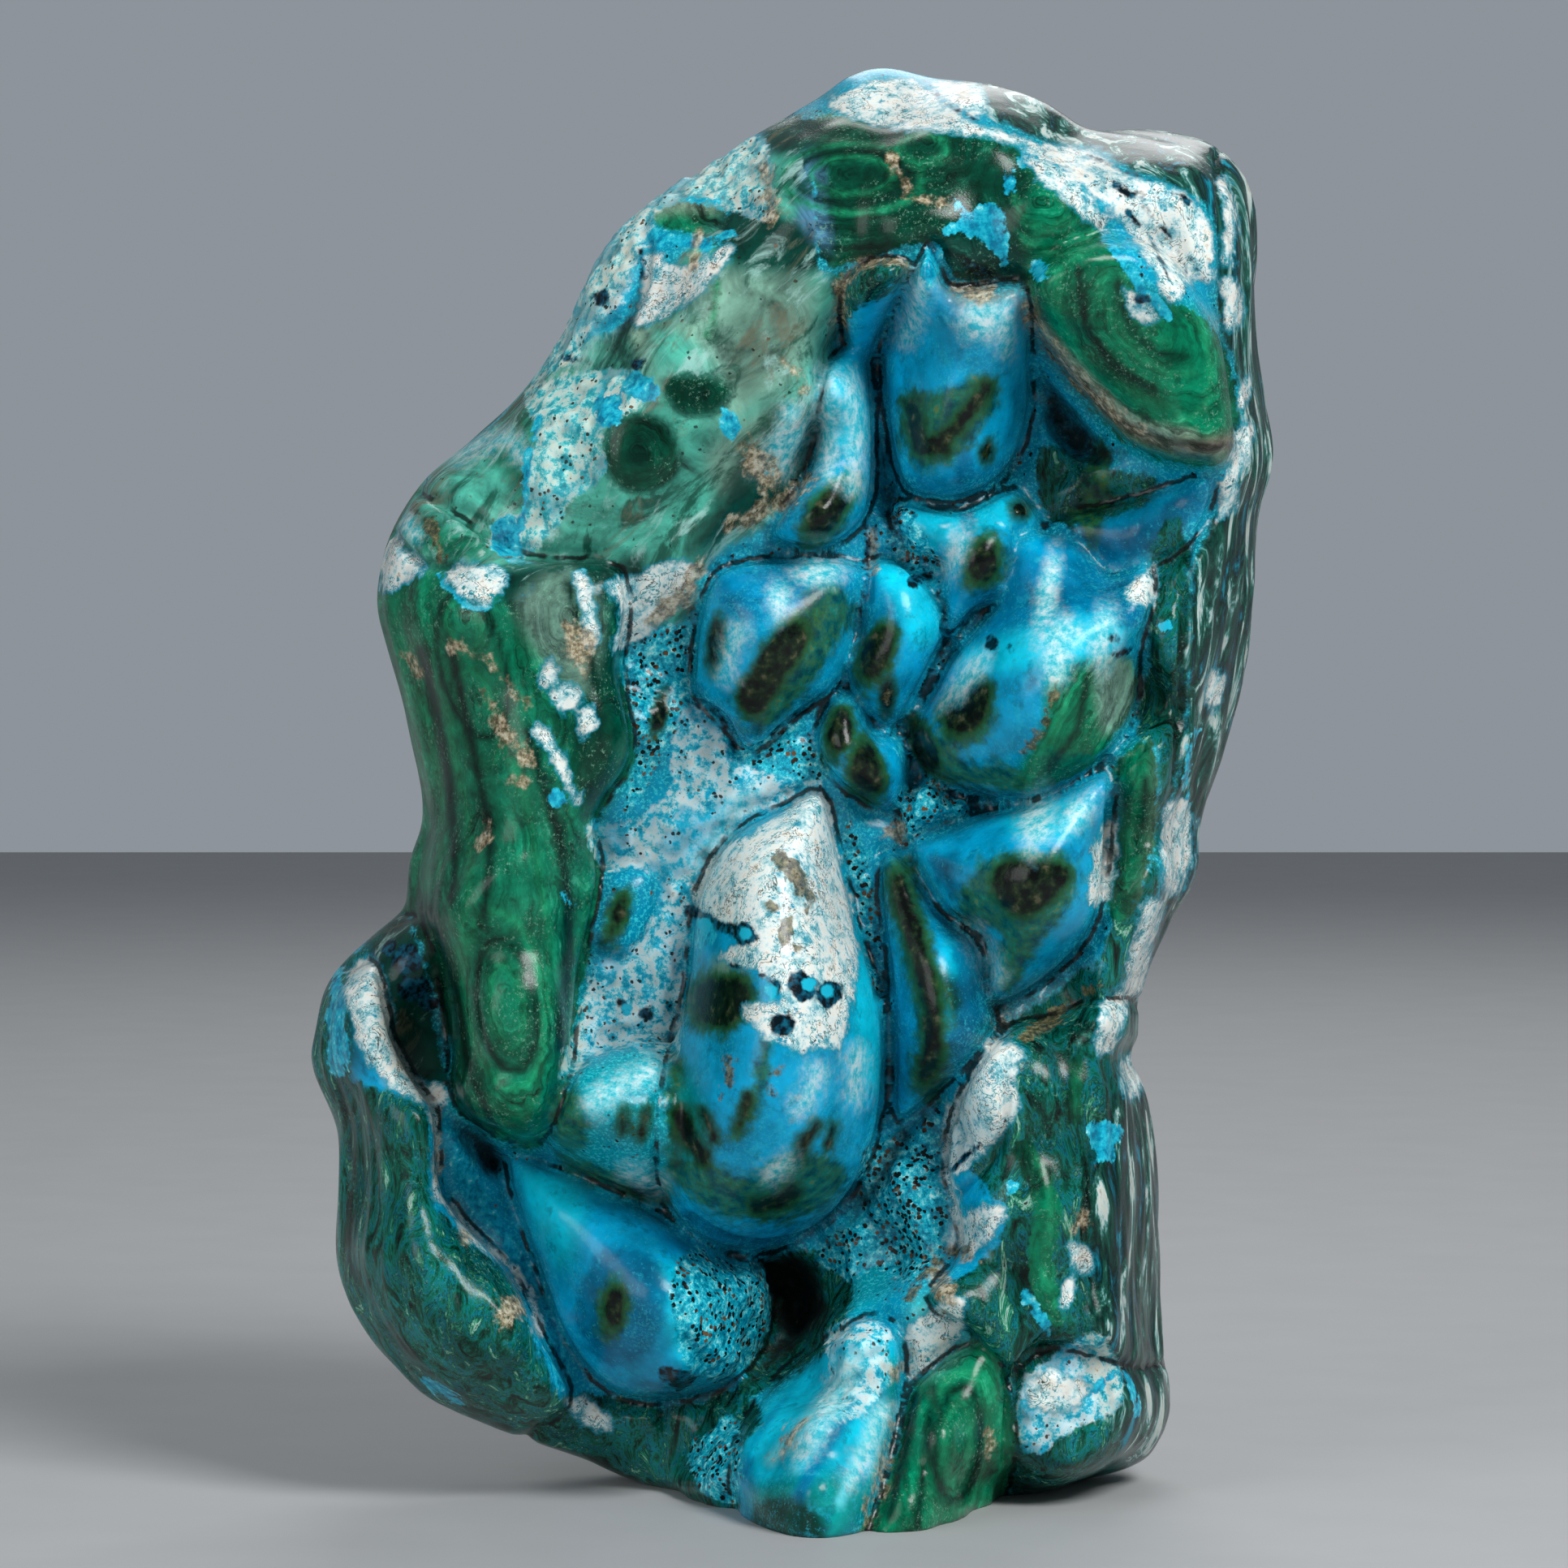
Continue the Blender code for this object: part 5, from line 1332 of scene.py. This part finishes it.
    # Dark green stone with long streaks of teal, mint and brown
    upright = node(tree, "ShaderNodeMapping", {"Vector": place, "Scale": (1.0, 1.0, 0.38)})
    stretched = upright.outputs["Vector"]
    mottle = ramp(tree, noise_at(2.6, 6.0, 0.72, 0.9, stretched), [
        (0.34, "#02100C"), (0.41, "#04342A"), (0.46, "#055040"), (0.50, "#0A6C58"), (0.53, "#067484"),
        (0.56, "#06382C"), (0.62, "#2A8C6C"), (0.66, "#A2CCBC"), (0.70, "#123A30"), (0.78, "#6A5A40")])
    mottle = brighten(mottle, maths("MULTIPLY_ADD", noise_at(7.0, 4.0, 0.6, 0.5, stretched), 2.6, -0.5))
    mottle = mix(maths("MULTIPLY", dust, 0.35), mottle, "#7DC0AC")

    # Cloudy grey-green stone with darker and paler drifts
    slanted = node(tree, "ShaderNodeMapping", {
        "Vector": place, "Rotation": (0, math.radians(40), 0), "Scale": (1.0, 1.0, 2.4)},
        vector_type="TEXTURE").outputs["Vector"]
    drift = noise_at(7.0, 6.0, 0.6, 1.4)
    cloudy = brighten(body, maths("MULTIPLY_ADD", drift, 3.8, -0.9))
    drifts = [
        (6.0, 0.66, 1.2, 0.50, 0.62, 0.85, "#0B4536"), (5.0, 0.7, 1.0, 0.52, 0.66, 0.75, "#A0CCC4"),
        (6.5, 0.7, 1.0, 0.55, 0.66, 0.6, "#6E6A56")]
    for size, grain, bend, low, high, share, tone in drifts:
        veil = step(noise_at(size, 7.0, grain, bend, slanted), low, high)
        cloudy = mix(maths("MULTIPLY", veil, share), cloudy, tone)
    cloudy = mix(maths("MULTIPLY", specks(1.1, 0.3, (0.5, 0.62)), 0.8), cloudy, speck_colour)

    colour = mix(ragged("mint", 0.4, 0.9), blue, cloudy)
    colour = mix(ragged("mottled", 0.4, 1.0), colour, mottle)
    colour = mix(ragged("malachite", 0.25, 0.9), colour, malachite)
    colour = mix(ragged("streak", 0.5, 0.9), colour, streaks)
    colour = mix(ragged("crust", 0.3, 0.9), colour, crust)
    colour = mix(ragged("speckled", 0.3, 0.9), colour, turquoise_crust)

    green = maths("MULTIPLY_ADD", warp, 1.0, field("green"))
    green_share = maths("MULTIPLY", step(green, -1.2, 0.6), 0.9)
    colour = mix(green_share, colour, ramp(tree, noise_at(1.8, 4.0, 0.6), [
        (0.36, "#052E26"), (0.46, "#0B4F3C"), (0.54, "#2C5A22"), (0.62, "#0F6E55"), (0.7, "#57702C")]))
    eye = maths("MULTIPLY_ADD", warp, 0.55, field("eye"))
    colour = mix(maths("MULTIPLY", step(eye, -1.1, 0.1), 0.8), colour, "#1B4A22")
    colour = mix(step(eye, -0.25, 0.7), colour, ramp(tree, noise_at(1.3, 3.0), [
        (0.40, "#050A08"), (0.52, "#0C1E12"), (0.62, "#23301A"), (0.70, "#4A4A38")]))

    # Pale clouds on the lobes: partly pale stone, partly painted highlight
    pale = step(maths("MULTIPLY_ADD", warp, 0.9, field("pale")), -2.4, 1.4)
    colour = mix(maths("MULTIPLY", pale, 0.85), colour, ramp(tree, noise_at(1.2, 4.0, 0.7), [
        (0.38, "#38BECE"), (0.50, "#98DEE2"), (0.62, "#DCEFF0")]))
    colour = mix(ragged("turquoise", 0.15, 0.9), colour, ramp(tree, noise_at(1.1, 4.0, 0.65), [
        (0.38, "#04789A"), (0.50, "#0CA6C4"), (0.62, "#30C4D6"), (0.72, "#A2E8EC")]))
    white_edge = maths("MULTIPLY_ADD", warp, 0.9, field("white"))
    colour = mix(maths("MULTIPLY", step(white_edge, -0.8, -0.3), 0.65), colour, "#0A8CA0")
    white = ramp(tree, noise_at(2.4, 6.0, 0.75), [
        (0.34, "#2F8FA4"), (0.42, "#9CC8CC"), (0.50, "#DEE8E4"), (0.60, "#E6E4DA"), (0.68, "#A49C88"),
        (0.76, "#4E524A")])
    lace = step(noise_at(1.3, 5.0, 0.75), 0.66, 0.56)
    veins = noise_at(5.0, 5.0, 0.6, 0.4)
    white = mix(between(veins, 0.485, 0.497, 0.006), white, "#2A8C94")
    white = mix(between(veins, 0.53, 0.54, 0.006), white, "#33403A")
    white = mix(maths("MULTIPLY", specks(1.2, 0.26, (0.52, 0.62)), 0.85), white, speck_colour)
    colour = mix(maths("MULTIPLY", step(white_edge, -0.5, 0.4), lace), colour, white)
    cream_share = maths("MULTIPLY", ragged("cream", 0.6, 1.5), maths("MULTIPLY", lace, 0.8))
    colour = mix(cream_share, colour, ramp(tree, noise_at(1.0, 4.0, 0.7), [
        (0.38, "#4E4434"), (0.48, "#8E7C60"), (0.56, "#C2B294"), (0.66, "#DDD5C0")]))
    ink_colour = ramp(tree, noise_at(0.9, 2.0), [
        (0.42, "#03121A"), (0.52, "#073A4E"), (0.64, "#0C5A70")])
    olive_share = maths("MULTIPLY", ragged("olive", 0.3, 1.2), 0.85)
    colour = mix(olive_share, colour, ramp(tree, noise_at(0.8, 4.0, 0.7), [
        (0.40, "#2C2A1C"), (0.52, "#5E5638"), (0.64, "#8C8462")]))
    colour = mix(ragged("ink", 0.25, 0.6), colour, ink_colour)
    colour = mix(ragged("dot", 0.2, 0.4), colour, "#1AB4D0")

    # Cracks where lobes meet, and painted shade inside the openings, with some brown crust in it and
    # less on what bulges out of them
    crack = maths("ABSOLUTE", maths("MULTIPLY_ADD", warp, 0.3, field("seam")))
    crack_share = maths("MULTIPLY", step(crack, 0.42, 0.16), step(noise_at(4.0, 2.0), 0.40, 0.52))
    colour = mix(maths("MULTIPLY", crack_share, 0.9), colour, "#0B0E0D")
    hollow = maths("MULTIPLY_ADD", warp, 0.12, field("hollow"))
    convex = step(hollow, 0.1, -0.3)
    opening = step(maths("MULTIPLY_ADD", warp, 0.9, field("gap")), -0.1, 2.0)
    opening = maths("MULTIPLY", opening, maths("MULTIPLY_ADD", convex, -0.8, 1.0))
    colour = mix(maths("MULTIPLY", opening, 0.92), colour, ramp(tree, noise_at(1.4, 4.0, 0.7), [
        (0.42, "#040606"), (0.56, "#0E1210"), (0.66, "#2C241A"), (0.74, "#4F5C50")]))

    # Convex edges a little lighter, and creases darkened as painted shade, with some dirt
    colour = brighten(colour, maths("MULTIPLY_ADD", step(hollow, 0.12, -0.25), 0.25, 0.95))
    colour = mix(maths("MULTIPLY", step(hollow, 0.5, 1.7), 0.6), colour, "#04100F")

    # Glossy where it is ground and polished, dull on the crust, matt inside the openings
    rough = mix(ragged("crust", 0.4, 0.9), (0.2, 0.2, 0.2, 1), (0.5, 0.5, 0.5, 1))
    rough = mix(opening, rough, (0.85, 0.85, 0.85, 1))
    porous = maths("MULTIPLY", pores, ragged("crust", 0.3, 0.9))
    relief = maths("MULTIPLY_ADD", fine, 0.2, maths("SUBTRACT", 1.0, porous))
    bump = node(tree, "ShaderNodeBump", {
        "Height": relief, "Distance": 0.3 * MM, "Strength": 0.5}).outputs["Normal"]
    shader = node(tree, "ShaderNodeBsdfPrincipled", {
        "Base Color": colour, "Roughness": rough, "IOR": 1.45, "Specular IOR Level": 0.26,
        "Coat Weight": 0.06, "Coat Roughness": 0.08, "Normal": bump})
    out = node(tree, "ShaderNodeOutputMaterial")
    tree.links.new(shader.outputs["BSDF"], out.inputs["Surface"])
    return material


def plain_material(name, colour, roughness):
    """A matt finish with a faint mottle, for what the stone stands on."""
    material = bpy.data.materials.new(name)
    material.use_nodes = True
    tree = material.node_tree
    shader = tree.nodes["Principled BSDF"]
    place = node(tree, "ShaderNodeTexCoord").outputs["Object"]
    mottle = node(tree, "ShaderNodeTexNoise", {"Vector": place, "Scale": 60.0, "Detail": 4.0})
    shade = node(tree, "ShaderNodeMix", {}, data_type="RGBA")
    tree.links.new(mottle.outputs["Fac"], shade.inputs[0])
    shade.inputs[6].default_value = linear(colour)
    shade.inputs[7].default_value = tuple(0.9 * part for part in linear(colour)[:3]) + (1.0,)
    tree.links.new(shade.outputs[2], shader.inputs["Base Color"])
    shader.inputs["Roughness"].default_value = roughness
    return material


def set_stage():
    """A pale floor, a grey room, one large soft lamp and two weaker ones."""
    bpy.ops.object.select_all(action="DESELECT")
    bpy.ops.mesh.primitive_plane_add(size=FLOOR_SIZE, location=FLOOR_PLACE)
    floor = bpy.context.active_object
    floor.name = "floor"
    floor.data.materials.append(plain_material("pale_matt_table", "#B9BABB", 0.6))

    world = bpy.data.worlds.new("grey_room")
    world.use_nodes = True
    tree = world.node_tree
    background = tree.nodes["Background"]
    background.inputs["Color"].default_value = linear("#8D949B")
    seen = node(tree, "ShaderNodeLightPath").outputs["Is Camera Ray"]
    strength = node(tree, "ShaderNodeMapRange", {"Value": seen, "To Min": ROOM_LIGHT, "To Max": 1.0})
    tree.links.new(strength.outputs["Result"], background.inputs["Strength"])
    bpy.context.scene.world = world

    target = Vector(LAMP_TARGET)
    for name, stands_at, size, power in LAMPS:
        light = bpy.data.lights.new(name, "AREA")
        light.size = size
        light.energy = power
        lamp = bpy.data.objects.new(name, light)
        lamp.location = stands_at
        lamp.rotation_euler = (target - Vector(stands_at)).to_track_quat("-Z", "Y").to_euler()
        bpy.context.scene.collection.objects.link(lamp)


def set_camera():
    """The camera stands at the sight point and looks along the middle of the sheet."""
    data = bpy.data.cameras.new("camera")
    data.sensor_width = SENSOR_WIDTH
    data.sensor_fit = "HORIZONTAL"
    data.lens = data.sensor_width * SHEET_REACH / SHEET
    data.clip_start = 0.05
    camera = bpy.data.objects.new("camera", data)
    shift = (FOOTPRINT_MIDDLE[0], FOOTPRINT_MIDDLE[1], 0)
    camera.location = [(place - move) * MM for place, move in zip(SIGHT, shift)]
    camera.rotation_euler = (math.pi / 2 - SHEET_LEAN, 0, 0)
    bpy.context.scene.collection.objects.link(camera)
    bpy.context.scene.camera = camera
    bpy.context.scene.view_settings.view_transform = "Standard"


set_camera()
set_stage()
stone = make_stone()
paint_fields(stone.data)
moved = vertex_array(stone.data) - np.array([FOOTPRINT_MIDDLE[0], FOOTPRINT_MIDDLE[1], 0])
set_vertices(stone.data, moved)
stone.data.materials.append(stone_material())
stone.data.shade_smooth()

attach(stone, "root")
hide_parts("chrysocolla_stone")
